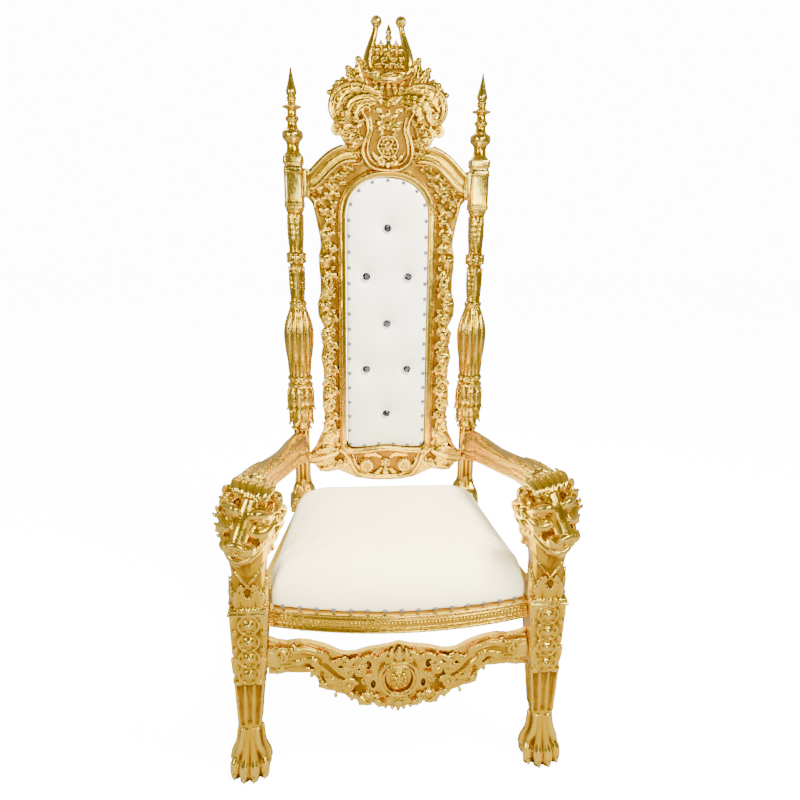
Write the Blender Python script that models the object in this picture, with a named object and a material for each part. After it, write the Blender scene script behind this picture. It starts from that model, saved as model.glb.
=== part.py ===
"""A tall carved throne: lion legs, turned posts, a carved back with a crown, a tufted pad and a domed seat.

Metres, +Z up, front towards -Y. The origin is on the floor, at the bottom centre of the whole throne.
Carving is drawn in millimetres on flat sheets, as a carver would draw it, and keeps the proportions of its
sheet when the size that it belongs to changes.
"""

import math

import bmesh
import bpy
from mathutils import Matrix, Vector

# Fits
GAP = 0.0003

# Fineness of the fused carving
VOXEL = 0.0027
FRAME_FACES = 1170
CREST_FACES = 920
STRETCHER_FACES = 640
LION_LEG_FACES = 1080
THINNING_TRIES = 12
THINNING_STEP = 0.02

# Seat
SEAT_RAIL_TOP = 0.442
RAIL_HEIGHT = 0.047
RAIL_THICKNESS = 0.030
FRONT_RAIL_FACE = 0.270
FRONT_RAIL_BOW = 0.045
REAR_RAIL_THICKNESS = 0.028
CUSHION_HEIGHT = 0.122
CUSHION_REAR = 0.240
CUSHION_FLARE = 0.008
CUSHION_REAR_HALF = 0.272

# Front legs with their lions
LEG_SPACING = 0.680
LEG_AXIS_Y = -0.258
LEG_SPLAY = 0.0158
BLOCK_WIDTH = 0.085
BLOCK_FOOT_WIDTH = 0.0715
BLOCK_BOTTOM = 0.268
FLUTE_BOTTOM = 0.140
FLUTE_FOOT_WIDTH = 0.057
PAW_WIDTH = 0.096
SOLE_DEPTH = 0.008
LION_HEIGHT = 0.300
HEAD_TURN = math.radians(13)
HEAD_NOD = math.radians(14)
HEAD_TILT = math.radians(10)
ROSETTES_PER_LEG = 4

# Posts
POST_SPACING = 0.489
POST_LEAN = 0.0089
BACK_RAKE = 0.021
POST_FOOT_Y = 0.2843
POST_FOOT_HALF = 0.038
POST_STEM_HALF = 0.0185
POST_CAPITAL_RADIUS = 0.038
POST_BULB_RADIUS = 0.0425
POST_COLUMN_RADIUS = 0.0225
POST_BLOCK_HALF = 0.0275
POST_FOOT_HEIGHT = 0.099
POST_STEM_HEIGHT = 0.149
POST_CAPITAL_HEIGHT = 0.141
POST_BULB_HEIGHT = 0.224
POST_COLUMN_HEIGHT = 0.266
POST_SHOULDER_HEIGHT = 0.132
POST_FINIAL_HEIGHT = 0.222
POST_SIDES = 12

# Back frame and its opening
FRAME_THICKNESS = 0.050
FRAME_FRONT_Y = 0.232
PLATE_THICKNESS = 0.024
OPENING_HALF = 0.114
OPENING_BOTTOM = 0.640
OPENING_SPRING = 1.295
OPENING_ARCH = 0.108
OPENING_HUMP = 0.007
MOULDING_WIDTH = 0.020
SIDE_STRIP = 0.048
WING_DROP = 0.080

# Crest and its scribed joint with the back frame
CREST_HEIGHT = 0.380
JOINT_FLAT_HALF = 0.045
JOINT_RAMP = 0.080
JOINT_RISE = 0.068

# Pad and buttons
PAD_SETBACK = 0.014
PAD_DOME = 0.012
PAD_REAR_INSET = 0.006
BUTTON_RADIUS = 0.013
BUTTON_HEIGHT = 0.010
BUTTON_CLEARANCE = 0.001
BUTTON_SIDES = 8
BUTTON_SPACING = 0.1305
BUTTON_COLUMN = 0.058
BUTTON_TOP_DROP = 0.133

# Arms
ARM_REST_HEIGHT = 0.720
ARM_ROOT_HEIGHT = 0.642
ARM_ROOT_HALF = 0.0235

# Stretcher
STRETCHER_THICKNESS = 0.030
STRETCHER_TOP = 0.361
STRETCHER_DEPTH = 0.213

# Rear legs
REAR_LEG_TOP = 0.056
REAR_LEG_FOOT = 0.044
REAR_LEG_KICK = 0.045

GOLD = ("carved_gold", (0.86, 0.60, 0.17, 1.0), 0.28, 1.0)
BACK_WHITE = ("back_leatherette", (0.85, 0.83, 0.80, 1.0), 0.42, 0.0)
SEAT_CREAM = ("seat_leatherette", (0.90, 0.87, 0.76, 1.0), 0.42, 0.0)
CRYSTAL = ("crystal", (0.72, 0.73, 0.75, 1.0), 0.12, 0.6)

FORWARD = Vector((0, -1, 0))


# Frame positions that several pieces share

def block_half(z):
    """Half width of a front leg's tapered block at height z."""
    share = (SEAT_RAIL_TOP - z) / (SEAT_RAIL_TOP - BLOCK_BOTTOM)
    return (BLOCK_WIDTH + (BLOCK_FOOT_WIDTH - BLOCK_WIDTH) * share) / 2


def leg_splay(z):
    """How far a front leg has moved outwards at height z, below the seat."""
    return LEG_SPLAY * max(SEAT_RAIL_TOP - z, 0.0) / SEAT_RAIL_TOP


def leg_inner_x(z):
    """X of a front leg's inner face at height z."""
    return LEG_SPACING / 2 + leg_splay(z) - block_half(z)


def leg_rear_y():
    """Y of the upright rear face of a front leg."""
    return LEG_AXIS_Y + BLOCK_WIDTH / 2


def post_axis(z):
    """X and Y of the right post's leaning axis at height z."""
    rise = z - SEAT_RAIL_TOP
    return POST_SPACING / 2 + POST_LEAN * rise, POST_FOOT_Y + BACK_RAKE * rise


def stage_heights():
    """Heights at which the stages of a post begin, from its foot to its finial's tip."""
    stages = (POST_FOOT_HEIGHT, POST_STEM_HEIGHT, POST_CAPITAL_HEIGHT, POST_BULB_HEIGHT,
              POST_COLUMN_HEIGHT, POST_SHOULDER_HEIGHT, POST_FINIAL_HEIGHT)
    heights = [SEAT_RAIL_TOP + GAP]
    for stage in stages:
        heights.append(heights[-1] + stage)
    return heights


def opening_outline(grow, arch_points=12, corner=0.018):
    """Closed (x, z) outline of the opening, grown outwards by grow, from the lower left corner round."""
    half = OPENING_HALF + grow
    rise = OPENING_ARCH + grow
    bottom = OPENING_BOTTOM - grow
    round_corner = corner + grow
    right = []
    for step in range(4, 0, -1):
        x = (half - round_corner) * step / 5
        right.append((x, bottom + OPENING_HUMP * math.cos(math.pi / 2 * step / 4) ** 2))
    right = right[::-1]
    for step in range(4):
        angle = math.pi / 2 * (step / 3) - math.pi / 2
        right.append((half - round_corner + round_corner * math.cos(angle),
                      bottom + round_corner + round_corner * math.sin(angle)))
    for step in range(arch_points):
        angle = math.pi / 2 * step / arch_points
        right.append((half * math.cos(angle) ** 0.9, OPENING_SPRING + rise * math.sin(angle) ** 0.9))
    top = (0.0, OPENING_SPRING + rise)
    left = [(-x, z) for x, z in reversed(right)]
    return [(0.0, bottom + OPENING_HUMP)] + right + [top] + left


def frame_rear_y(z):
    """Y of the back frame's flat rear at height z."""
    return FRAME_FRONT_Y + FRAME_THICKNESS + BACK_RAKE * z


def joint_height(x):
    """Height of the scribed joint between the crest and the back frame, at x from the middle."""
    top = OPENING_SPRING + OPENING_ARCH + 0.013
    share = min(max(abs(x) - JOINT_FLAT_HALF, 0.0) / JOINT_RAMP, 1.0)
    return top + JOINT_RISE * (0.5 - 0.5 * math.cos(math.pi * share))


# Materials and objects

def material(finish):
    """The named finish as a Principled material, made once."""
    name, colour, roughness, metallic = finish
    found = bpy.data.materials.get(name)
    if found:
        return found
    made = bpy.data.materials.new(name)
    made.use_nodes = True
    shader = made.node_tree.nodes["Principled BSDF"]
    shader.inputs["Base Color"].default_value = colour
    shader.inputs["Roughness"].default_value = roughness
    shader.inputs["Metallic"].default_value = metallic
    made.diffuse_color = colour
    return made


def link(name, mesh, finish):
    """A new object with its own mesh and material, in the scene."""
    item = bpy.data.objects.new(name, mesh)
    bpy.context.scene.collection.objects.link(item)
    mesh.materials.clear()
    mesh.materials.append(material(finish))
    mesh.shade_smooth()
    mesh.set_sharp_from_angle(angle=math.radians(35))
    return item


def mesh_of(shape, name):
    """A mesh from a bmesh, whose faces are made to point out."""
    bmesh.ops.recalc_face_normals(shape, faces=shape.faces)
    mesh = bpy.data.meshes.new(name)
    shape.to_mesh(mesh)
    shape.free()
    return mesh


def evaluated_mesh(item):
    """The object's mesh after its modifiers."""
    graph = bpy.context.evaluated_depsgraph_get()
    return bpy.data.meshes.new_from_object(item.evaluated_get(graph))


def fused(shape, name, triangles, symmetric=False):
    """Fuses overlapping closed shells into one skin and thins it to about so many triangles."""
    item = bpy.data.objects.new(name, mesh_of(shape, name))
    bpy.context.scene.collection.objects.link(item)
    skin = item.modifiers.new("Fuse", "REMESH")
    skin.mode = "VOXEL"
    skin.voxel_size = VOXEL
    count = 2 * len(evaluated_mesh(item).polygons)
    thin = item.modifiers.new("Thin", "DECIMATE")
    for attempt in range(THINNING_TRIES):
        thin.ratio = min(1.0, triangles * (1 + attempt * THINNING_STEP) / count)
        mesh = evaluated_mesh(item)
        mesh = even_halves(mesh) if symmetric else largest_body(mesh)
        if is_sound(mesh):
            break
    bpy.data.objects.remove(item)
    return mesh


def is_sound(mesh):
    """True where every edge joins two faces and every vertex one fan of them."""
    shape = bmesh.new()
    shape.from_mesh(mesh)
    sound = all(edge.is_manifold for edge in shape.edges) and all(vertex.is_manifold for vertex in shape.verts)
    shape.free()
    return sound


def even_halves(mesh):
    """The mesh with its right half repeated on the left."""
    shape = bmesh.new()
    shape.from_mesh(mesh)
    bmesh.ops.symmetrize(shape, input=shape.verts[:] + shape.edges[:] + shape.faces[:], direction="X",
                         dist=0.00001)
    bmesh.ops.dissolve_degenerate(shape, edges=shape.edges, dist=0.0001)
    bmesh.ops.triangulate(shape, faces=shape.faces)
    shape.to_mesh(mesh)
    shape.free()
    return largest_body(mesh)


def largest_body(mesh):
    """The mesh without crumbs: only the connected body with the most vertices is kept."""
    shape = bmesh.new()
    shape.from_mesh(mesh)
    unseen = set(shape.verts)
    bodies = []
    while unseen:
        body = set()
        front = [unseen.pop()]
        while front:
            vertex = front.pop()
            body.add(vertex)
            for edge in vertex.link_edges:
                other = edge.other_vert(vertex)
                if other in unseen:
                    unseen.remove(other)
                    front.append(other)
        bodies.append(body)
    bodies.sort(key=len, reverse=True)
    crumbs = [vertex for body in bodies[1:] for vertex in body]
    bmesh.ops.delete(shape, geom=crumbs, context="VERTS")
    shape.to_mesh(mesh)
    shape.free()
    return mesh


def carved_away(mesh, cutters):
    """The mesh less the closed meshes in cutters, each cut exactly."""
    item = bpy.data.objects.new("work", mesh)
    bpy.context.scene.collection.objects.link(item)
    helpers = []
    for cutter in cutters:
        helper = bpy.data.objects.new("cutter", cutter)
        bpy.context.scene.collection.objects.link(helper)
        helpers.append(helper)
        cut = item.modifiers.new("Cut", "BOOLEAN")
        cut.operation = "DIFFERENCE"
        cut.solver = "EXACT"
        cut.object = helper
    result = evaluated_mesh(item)
    for helper in helpers + [item]:
        bpy.data.objects.remove(helper)
    return largest_body(result)


def mirrored(mesh, name):
    """A copy of the mesh turned over to the other side of the throne."""
    shape = bmesh.new()
    shape.from_mesh(mesh)
    bmesh.ops.scale(shape, vec=(-1, 1, 1), verts=shape.verts)
    bmesh.ops.reverse_faces(shape, faces=shape.faces)
    copy = bpy.data.meshes.new(name)
    shape.to_mesh(copy)
    shape.free()
    return copy


def pair(name, mesh, finish):
    """The right piece and its mirrored twin."""
    left = mirrored(mesh, name + "_left")
    link(name + "_right", mesh, finish)
    link(name + "_left", left, finish)


# Carving shapes, each a closed shell

def add_ball(shape, centre, radii, turn=None, detail=1):
    """An ellipsoid with the given half sizes, turned by a rotation matrix."""
    size = Matrix.Diagonal((*radii, 1.0))
    place = Matrix.Translation(centre) @ (turn.to_4x4() if turn else Matrix()) @ size
    bmesh.ops.create_icosphere(shape, subdivisions=detail, radius=1.0, matrix=place)


def add_rings(shape, rings):
    """A closed shell through rings of points that all have the same count."""
    loops = [[shape.verts.new(point) for point in ring] for ring in rings]
    count = len(loops[0])
    for lower, upper in zip(loops, loops[1:]):
        for side in range(count):
            after = (side + 1) % count
            shape.faces.new((lower[side], lower[after], upper[after], upper[side]))
    shape.faces.new(loops[0][::-1])
    shape.faces.new(loops[-1])


def add_rod(shape, path, radii, depth=1.0, facing=FORWARD, sides=6):
    """A tapering rod along a path; its section is depth times as thick towards facing as across."""
    points = [Vector(point) for point in path]
    rings = []
    for index, point in enumerate(points):
        before = points[max(index - 1, 0)]
        after = points[min(index + 1, len(points) - 1)]
        along = (after - before).normalized()
        across = along.cross(facing)
        if across.length < 1e-6:
            across = along.orthogonal()
        across.normalize()
        up = across.cross(along)
        radius = radii[index] if isinstance(radii, (list, tuple)) else radii
        ring = []
        for side in range(sides):
            angle = 2 * math.pi * side / sides
            ring.append(point + across * math.cos(angle) * radius + up * math.sin(angle) * radius * depth)
        rings.append(ring)
    add_rings(shape, rings)


def add_plate(shape, outline, rear, front):
    """A flat board with an (x, z) outline between two depths, where depth is towards the viewer."""
    add_rings(shape, [[Vector((x, -depth, z)) for x, z in outline] for depth in (rear, front)])


def add_box(shape, low, high):
    """A box from corner to corner."""
    x0, y0, z0 = low
    x1, y1, z1 = high
    rings = []
    for z in (z0, z1):
        rings.append([Vector((x0, y0, z)), Vector((x1, y0, z)), Vector((x1, y1, z)), Vector((x0, y1, z))])
    add_rings(shape, rings)


def sheet_point(x, z, depth, scale=1.0):
    """A point drawn in millimetres on an upright sheet, in metres."""
    return Vector((x, -depth, z)) * (scale / 1000)


def curl(start, turn_start, radius_start, radius_end, turns, steps=9):
    """Points of a spiral on a sheet that winds round a centre, in millimetres, as (x, z) pairs."""
    points = []
    for step in range(steps + 1):
        share = step / steps
        angle = turn_start + turns * 2 * math.pi * share
        radius = radius_start + (radius_end - radius_start) * share
        points.append((start[0] + radius * math.cos(angle), start[1] + radius * math.sin(angle)))
    return points


class Sheet:
    """A flat drawing of carving, in millimetres, that adds relief to a bmesh in metres."""

    def __init__(self, shape, scale=1.0, mirror=False):
        self.shape = shape
        self.scale = scale
        self.side = -1 if mirror else 1

    def at(self, x, z, depth):
        """The drawn point in metres."""
        return sheet_point(self.side * x, z, depth, self.scale)

    def ball(self, x, z, depth, across, tall=None, thick=None):
        """A boss with half sizes across, tall and thick."""
        tall = across if tall is None else tall
        thick = across if thick is None else thick
        radii = [value * self.scale / 1000 for value in (across, thick, tall)]
        add_ball(self.shape, self.at(x, z, depth), radii)

    def rod(self, points, radii, depth=12.0, thick=1.0, sides=6):
        """A scroll through (x, z) points."""
        path = [self.at(x, z, depth) for x, z in points]
        if isinstance(radii, (list, tuple)):
            sizes = [radius * self.scale / 1000 for radius in radii]
        else:
            sizes = radii * self.scale / 1000
        add_rod(self.shape, path, sizes, thick, sides=sides)

    def taper(self, points, start, end, depth=12.0, thick=1.0, sides=6):
        """A scroll whose radius goes evenly from start to end."""
        last = len(points) - 1
        radii = [start + (end - start) * index / last for index in range(last + 1)]
        self.rod(points, radii, depth, thick, sides)

    def leaf(self, base, tip, width, depth=12.0, thick=0.5, bend=0.0):
        """A pointed leaf from base to tip that swells to width and bends sideways by bend."""
        bx, bz = base
        tx, tz = tip
        nx, nz = -(tz - bz), tx - bx
        points = []
        for share in (0.0, 0.35, 0.7, 1.0):
            sway = bend * math.sin(math.pi * share)
            points.append((bx + (tx - bx) * share + nx * sway, bz + (tz - bz) * share + nz * sway))
        self.rod(points, (width * 0.55, width, width * 0.7, width * 0.12), depth, thick, sides=6)

    def rose(self, x, z, radius, depth=14.0, petals=5):
        """A flower: a ring of petals round a boss."""
        for petal in range(petals):
            angle = 2 * math.pi * petal / petals + math.pi / 2
            reach = radius * 0.58
            self.ball(x + reach * math.cos(angle), z + reach * math.sin(angle), depth,
                      radius * 0.45, radius * 0.45, radius * 0.38)
        self.ball(x, z, depth + radius * 0.25, radius * 0.34, radius * 0.34, radius * 0.36)

    def scroll(self, x, z, radius, start_angle, turns, width, depth=14.0, thick=1.0):
        """A volute that winds in to its eye."""
        points = curl((x, z), start_angle, radius, radius * 0.28, turns)
        self.taper(points, width, width * 0.7, depth, thick)
        self.ball(x, z, depth + width * 0.2, width * 0.9, width * 0.9, width)


def both_sides(shape, scale=1.0):
    """The right and the left sheet of one symmetric drawing."""
    return Sheet(shape, scale), Sheet(shape, scale, mirror=True)


# Posts

def post_rows():
    """Rows (height, radius, form) of a post from its foot up; form is square, round or reed."""
    foot, stem, capital, bulb, column, shoulder, finial, tip = stage_heights()
    rows = [(foot, POST_FOOT_HALF, "square"), (foot + 0.44 * POST_FOOT_HEIGHT, POST_FOOT_HALF, "square")]
    flare = POST_FOOT_HALF - POST_STEM_HALF
    for share, width in ((0.62, 0.78), (0.80, 0.30), (1.0, 0.0)):
        rows.append((foot + share * POST_FOOT_HEIGHT, POST_STEM_HALF + width * flare, "square"))
    rows.append((capital - 0.008, POST_STEM_HALF, "square"))
    for share, width in ((0.0, 0.66), (0.12, 0.97), (0.30, 1.0), (0.60, 0.93), (0.95, 0.97)):
        rows.append((capital + share * POST_CAPITAL_HEIGHT, width * POST_CAPITAL_RADIUS, "reed"))
    rows.append((bulb, POST_CAPITAL_RADIUS * 0.95, "round"))
    for share, width in ((0.04, 0.86), (0.11, 0.83), (0.14, 0.77), (0.34, 0.86), (0.64, 1.0),
                         (0.77, 0.93), (0.87, 0.74), (0.96, 0.52)):
        rows.append((bulb + share * POST_BULB_HEIGHT, width * POST_BULB_RADIUS, "reed"))
    for share, width in ((0.0, 1.08), (0.05, 0.98), (0.40, 0.98), (0.48, 1.24), (0.52, 1.24),
                         (0.60, 1.0)):
        rows.append((column + share * POST_COLUMN_HEIGHT, width * POST_COLUMN_RADIUS, "round"))
    for share, width in ((0.0, 1.0), (0.79, 1.0), (0.81, 0.90), (0.84, 1.0), (1.0, 1.0)):
        rows.append((shoulder + share * POST_SHOULDER_HEIGHT, width * POST_BLOCK_HALF, "square"))
    for share, width in ((0.02, 0.84), (0.12, 0.62), (0.16, 0.66), (0.22, 1.02), (0.28, 0.98),
                         (0.32, 0.54), (0.39, 0.50), (0.41, 0.65), (0.44, 0.65), (0.46, 0.46),
                         (0.53, 0.46), (0.54, 0.92), (0.57, 0.92), (0.59, 0.42), (0.69, 0.55)):
        rows.append((finial + share * POST_FINIAL_HEIGHT, width * POST_BLOCK_HALF, "round"))
    rows.append((tip, 0.0025, "round"))
    return rows


def post_reach(angle, radius, form, index):
    """Distance from the axis to the post's skin in one direction."""
    if form == "square":
        return min(radius / max(abs(math.cos(angle)), abs(math.sin(angle))), 1.26 * radius)
    if form == "reed" and index % 2:
        return radius * 0.86
    return radius


def post_width_between(low, high):
    """The post's greatest distance from its axis to a face, between two heights."""
    widest = POST_STEM_HALF
    rows = post_rows()
    for lower, upper in zip(rows, rows[1:]):
        if upper[0] >= low and lower[0] <= high:
            widest = max(widest, lower[1], upper[1])
    return widest


def build_posts():
    """The two posts, which lean out and back from the seat's rear corners."""
    shape = bmesh.new()
    rings = []
    for z, radius, form in post_rows():
        x, y = post_axis(z)
        ring = []
        for index in range(POST_SIDES):
            angle = 2 * math.pi * index / POST_SIDES
            reach = post_reach(angle, radius, form, index)
            ring.append(Vector((x + reach * math.cos(angle), y + reach * math.sin(angle), z)))
        rings.append(ring)
    add_rings(shape, rings)
    pair("post", mesh_of(shape, "post"), GOLD)


# Back frame

def shoulder_points():
    """Centre line (x, z) in millimetres of the moulded shoulder from the post in to the crest."""
    stages = stage_heights()
    end_z = (stages[5] + 0.48 * POST_SHOULDER_HEIGHT) * 1000
    end_x = (post_axis(stages[5])[0] - POST_BLOCK_HALF) * 1000
    inner_z = (OPENING_SPRING + OPENING_ARCH) * 1000 + 58
    return [(end_x + 6, end_z), (end_x - 14, end_z + 4), (end_x - 44, end_z + 28), (end_x - 76, end_z + 58),
            (end_x - 112, inner_z + 2), (end_x - 150, inner_z - 8)]


def frame_motifs(sheet):
    """The right side's relief: shoulder, flower chain, shell, lower wing and apron flowers."""
    edge = OPENING_HALF * 1000 + MOULDING_WIDTH * 1000
    middle = edge + SIDE_STRIP * 500
    spring = OPENING_SPRING * 1000
    bottom = OPENING_BOTTOM * 1000
    span = spring - bottom
    sheet.rod(shoulder_points(), (30, 29, 28, 27, 25, 20), 18, 0.7, sides=8)
    sheet.rod([(x, z + 19) for x, z in shoulder_points()], 9, 34, 1.0)
    sheet.rose(middle + 20, spring + 47, 24, 26)
    sheet.rose(middle + 4, spring + 10, 24, 28)
    sheet.leaf((middle - 6, spring + 62), (middle - 28, spring + 112), 15, 24)
    chain = ((0.945, 6, 19), (0.885, -2, 19), (0.812, 12, 20), (0.735, 0, 20), (0.655, 12, 23),
             (0.585, -4, 15), (0.52, 5, 19), (0.44, 2, 20), (0.36, 4, 17), (0.29, 4, 18),
             (0.22, 5, 18), (0.15, 4, 18))
    for index, (share, offset, radius) in enumerate(chain):
        z = bottom + share * span
        if index % 2:
            sheet.rose(middle + offset, z, radius, 28)
        else:
            sheet.scroll(middle + offset, z, radius * 0.8, math.pi / 2, 1.1, radius * 0.36, 28)
            sheet.leaf((middle - 12, z - radius), (middle + offset + 10, z - radius * 1.9), 9, 26)
    for index in range(5):
        angle = math.radians(15 + 38 * index)
        tip = (middle + 4 + 32 * math.cos(angle), bottom + 8 + 40 * math.sin(angle))
        sheet.leaf((middle - 4, bottom + 2), tip, 9, 28)
    wing = bottom - 30
    stem_x = (post_axis(OPENING_BOTTOM)[0] - POST_STEM_HALF) * 1000
    sheet.rod([(edge - 4, bottom - 4), (middle + 10, wing + 6), (stem_x - 20, wing + 2), (stem_x + 5, wing - 4)],
              (14, 20, 20, 19), 18, 0.8, sides=8)
    sheet.scroll(middle + 34, wing - 34, 14, math.pi / 2, 1.0, 8, 24)
    sheet.leaf((middle + 40, wing - 10), (middle - 2, wing - 56), 13, 24)
    sheet.leaf((edge + 4, wing - 6), (edge + 4, wing - 54), 15, 22)
    border = [(edge + 2, bottom - 4), (edge - 22, wing - 22), (edge - 48, wing - 52), (0, wing - 68)]
    sheet.rod(border, 11, 26, 1.2)
    sheet.rose(56, wing - 28, 27, 24)
    sheet.leaf((30, wing - 6), (80, wing - 2), 9, 26)


def plate_outline():
    """The right half outline (x, z) of the frame's board behind the relief, in metres."""
    edge = OPENING_HALF + MOULDING_WIDTH
    outer = edge + SIDE_STRIP * 0.86
    stages = stage_heights()
    end_z = stages[5] + 0.48 * POST_SHOULDER_HEIGHT
    end_x = post_axis(stages[5])[0] - POST_BLOCK_HALF
    stem_x = post_axis(OPENING_BOTTOM)[0] - POST_STEM_HALF
    low = OPENING_BOTTOM - WING_DROP
    return [(0.0, low - 0.022), (0.075, low - 0.018), (0.110, low - 0.002), (0.168, low + 0.004),
            (stem_x - 0.012, low + 0.030), (stem_x + 0.004, low + 0.050), (outer + 0.008, OPENING_BOTTOM),
            (outer - 0.004, OPENING_BOTTOM + 0.07), (outer, OPENING_SPRING - 0.06),
            (outer + 0.014, OPENING_SPRING + 0.03), (end_x, end_z - 0.026), (end_x + 0.004, end_z + 0.022),
            (0.176, end_z + 0.050), (0.120, OPENING_SPRING + OPENING_ARCH + 0.075),
            (0.0, OPENING_SPRING + OPENING_ARCH + 0.030)]


def joint_wedge(lift, up):
    """A closed prism above or below the scribed joint, lifted by lift."""
    line = []
    steps = 24
    reach = 0.30
    for step in range(steps + 1):
        x = -reach + 2 * reach * step / steps
        line.append((x, joint_height(x) + lift))
    level = 2.2 if up else 1.0
    outline = line + [(reach, level), (-reach, level)]
    shape = bmesh.new()
    add_plate(shape, outline, -0.60, 0.0)
    return mesh_of(shape, "joint")


def post_wedges():
    """Closed prisms beyond the planes where the frame meets the posts' stems and blocks, both sides."""
    cutters = []
    stages = stage_heights()
    zones = ((0.30, stages[3], POST_STEM_HALF), (stages[3], stages[7], POST_BLOCK_HALF))
    for low, high, half in zones:
        shape = bmesh.new()
        rings = []
        for z in (low, high):
            x = post_axis(z)[0] - half - GAP
            rings.append([Vector((x, 0.0, z)), Vector((0.5, 0.0, z)), Vector((0.5, 0.6, z)), Vector((x, 0.6, z))])
        add_rings(shape, rings)
        mesh = mesh_of(shape, "wedge")
        cutters += [mesh, mirrored(mesh, "wedge_left")]
    return cutters


def lean_back(shape, rear_at_floor):
    """Shears upright carving so that it rakes back, and moves its rear to where the frame's rear is."""
    shear = Matrix(((1, 0, 0, 0), (0, 1, BACK_RAKE, rear_at_floor), (0, 0, 1, 0), (0, 0, 0, 1)))
    bmesh.ops.transform(shape, matrix=shear, verts=shape.verts)


def build_back_frame():
    """The carved frame of the back, with its opening and its scribed upper edge."""
    shape = bmesh.new()
    right = plate_outline()
    left = [(-x, z) for x, z in reversed(right[1:-1])]
    add_plate(shape, right + left, 0.0, PLATE_THICKNESS)
    for sheet in both_sides(shape):
        frame_motifs(sheet)
    sheet = Sheet(shape)
    centre = OPENING_BOTTOM * 1000 - 62
    sheet.rose(0, centre, 22, 26)
    sheet.leaf((0, centre - 6), (0, centre - 42), 14, 22)
    ring = opening_outline(MOULDING_WIDTH * 0.5)
    path = [sheet_point(x * 1000, z * 1000, FRAME_THICKNESS * 560) for x, z in ring]
    add_rod(shape, path + path[:2], MOULDING_WIDTH * 0.52, FRAME_THICKNESS * 0.84 / MOULDING_WIDTH)
    lean_back(shape, FRAME_FRONT_Y + FRAME_THICKNESS)
    mesh = fused(shape, "back_frame", FRAME_FACES, symmetric=True)
    hole = bmesh.new()
    add_plate(hole, opening_outline(0.0), -0.60, 0.0)
    mesh = carved_away(mesh, [mesh_of(hole, "hole"), joint_wedge(-GAP, up=True)] + post_wedges())
    link("back_frame", mesh, GOLD)


# Crest

def crest_motifs(sheet):
    """The right half of the crest's relief, in millimetres above its foot on a 380 mm high sheet."""
    sheet.rod([(20, 196), (60, 204), (100, 206), (134, 194), (150, 168), (144, 140), (126, 128), (112, 140),
               (118, 154)], (12, 15, 17, 17, 14, 12, 11, 9, 7), 20, 1.0, sides=8)
    sheet.leaf((96, 180), (70, 138), 16, 20, 0.6)
    sheet.scroll(133, 108, 12, 0.0, -1.0, 7, 18)
    sheet.scroll(112, 96, 12, math.pi, 1.0, 8, 18)
    sheet.leaf((104, 110), (124, 84), 9, 18)
    for base, tip, width in (((46, 196), (81, 284), 12), ((62, 200), (107, 260), 13), ((84, 206), (135, 222), 13),
                             ((112, 198), (157, 196), 12), ((36, 200), (60, 262), 11)):
        sheet.leaf(base, tip, width, 16, 0.7, 0.06)
    sheet.rod([(52, 258), (52, 286), (46, 314), (37, 342), (33, 362)], (11, 11, 9, 6.5, 6), 14, 1.0)
    sheet.ball(32, 367, 14, 13, 13, 12)
    sheet.rose(27, 274, 20, 20)
    sheet.rod([(30, 282), (29, 306)], (6, 6), 12, 1.0)
    sheet.rod([(14, 282), (14, 300)], (5, 5), 12, 1.0)
    sheet.ball(0, 214, 18, 8, 14, 10)
    sheet.ball(17, 213, 18, 8, 14, 10)
    sheet.ball(34, 211, 17, 8, 14, 10)
    border = [(0, 6), (34, 8), (58, 24), (66, 48), (60, 78), (52, 104), (56, 130), (68, 148), (60, 160), (46, 150)]
    sheet.rod(border, (6, 7, 7, 7, 7, 7, 7, 7, 6, 5), 28, 1.0)
    sheet.scroll(20, 28, 11, math.pi / 2, -1.0, 5, 30)
    sheet.leaf((8, 108), (40, 128), 10, 30, 0.6)
    sheet.leaf((84, 20), (80, 96), 14, 18, 0.7, 0.1)
    sheet.leaf((108, 52), (92, 104), 12, 16, 0.7)
    sheet.rose(92, 66, 17, 18)


def build_crest():
    """The crest, which is scribed to the arch below it."""
    shape = bmesh.new()
    scale = CREST_HEIGHT / 0.380
    right = [(0, -14), (70, -4), (104, 40), (120, 74), (130, 100), (146, 150), (132, 196), (70, 204), (56, 226),
             (54, 286), (36, 300), (0, 304)]
    outline = [(x, z) for x, z in right] + [(-x, z) for x, z in reversed(right[1:-1])]
    add_plate(shape, [(x * scale / 1000, z * scale / 1000) for x, z in outline], 0.0, 0.014)
    for sheet in both_sides(shape, scale):
        crest_motifs(sheet)
    sheet = Sheet(shape, scale)
    shield = [(0, 2), (34, 4), (60, 22), (68, 48), (62, 78), (54, 104), (60, 134), (66, 158), (30, 186), (0, 192)]
    outline = shield + [(-x, z) for x, z in reversed(shield[1:-1])]
    add_plate(shape, [(x * scale / 1000, z * scale / 1000) for x, z in outline], 0.0, 0.024)
    band = [(-58, 250), (-40, 240), (-14, 235), (14, 235), (40, 240), (58, 250)]
    sheet.rod(band, (12, 15, 17, 17, 15, 12), 24, 0.9, sides=8)
    sheet.rod([(0, 250), (0, 318), (0, 340), (0, 366)], (12, 7, 8, 1.5), 16, 1.0)
    sheet.rose(0, 62, 30, 26, petals=6)
    sheet.rose(0, 116, 21, 26)
    sheet.rose(0, 164, 24, 26)
    foot = OPENING_SPRING + OPENING_ARCH + 0.014
    bmesh.ops.translate(shape, vec=(0, 0, foot), verts=shape.verts)
    lean_back(shape, FRAME_FRONT_Y + FRAME_THICKNESS - 0.004)
    mesh = fused(shape, "crest", CREST_FACES, symmetric=True)
    link("crest", carved_away(mesh, [joint_wedge(0.0, up=False)]), GOLD)


# Pad and buttons

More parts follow.
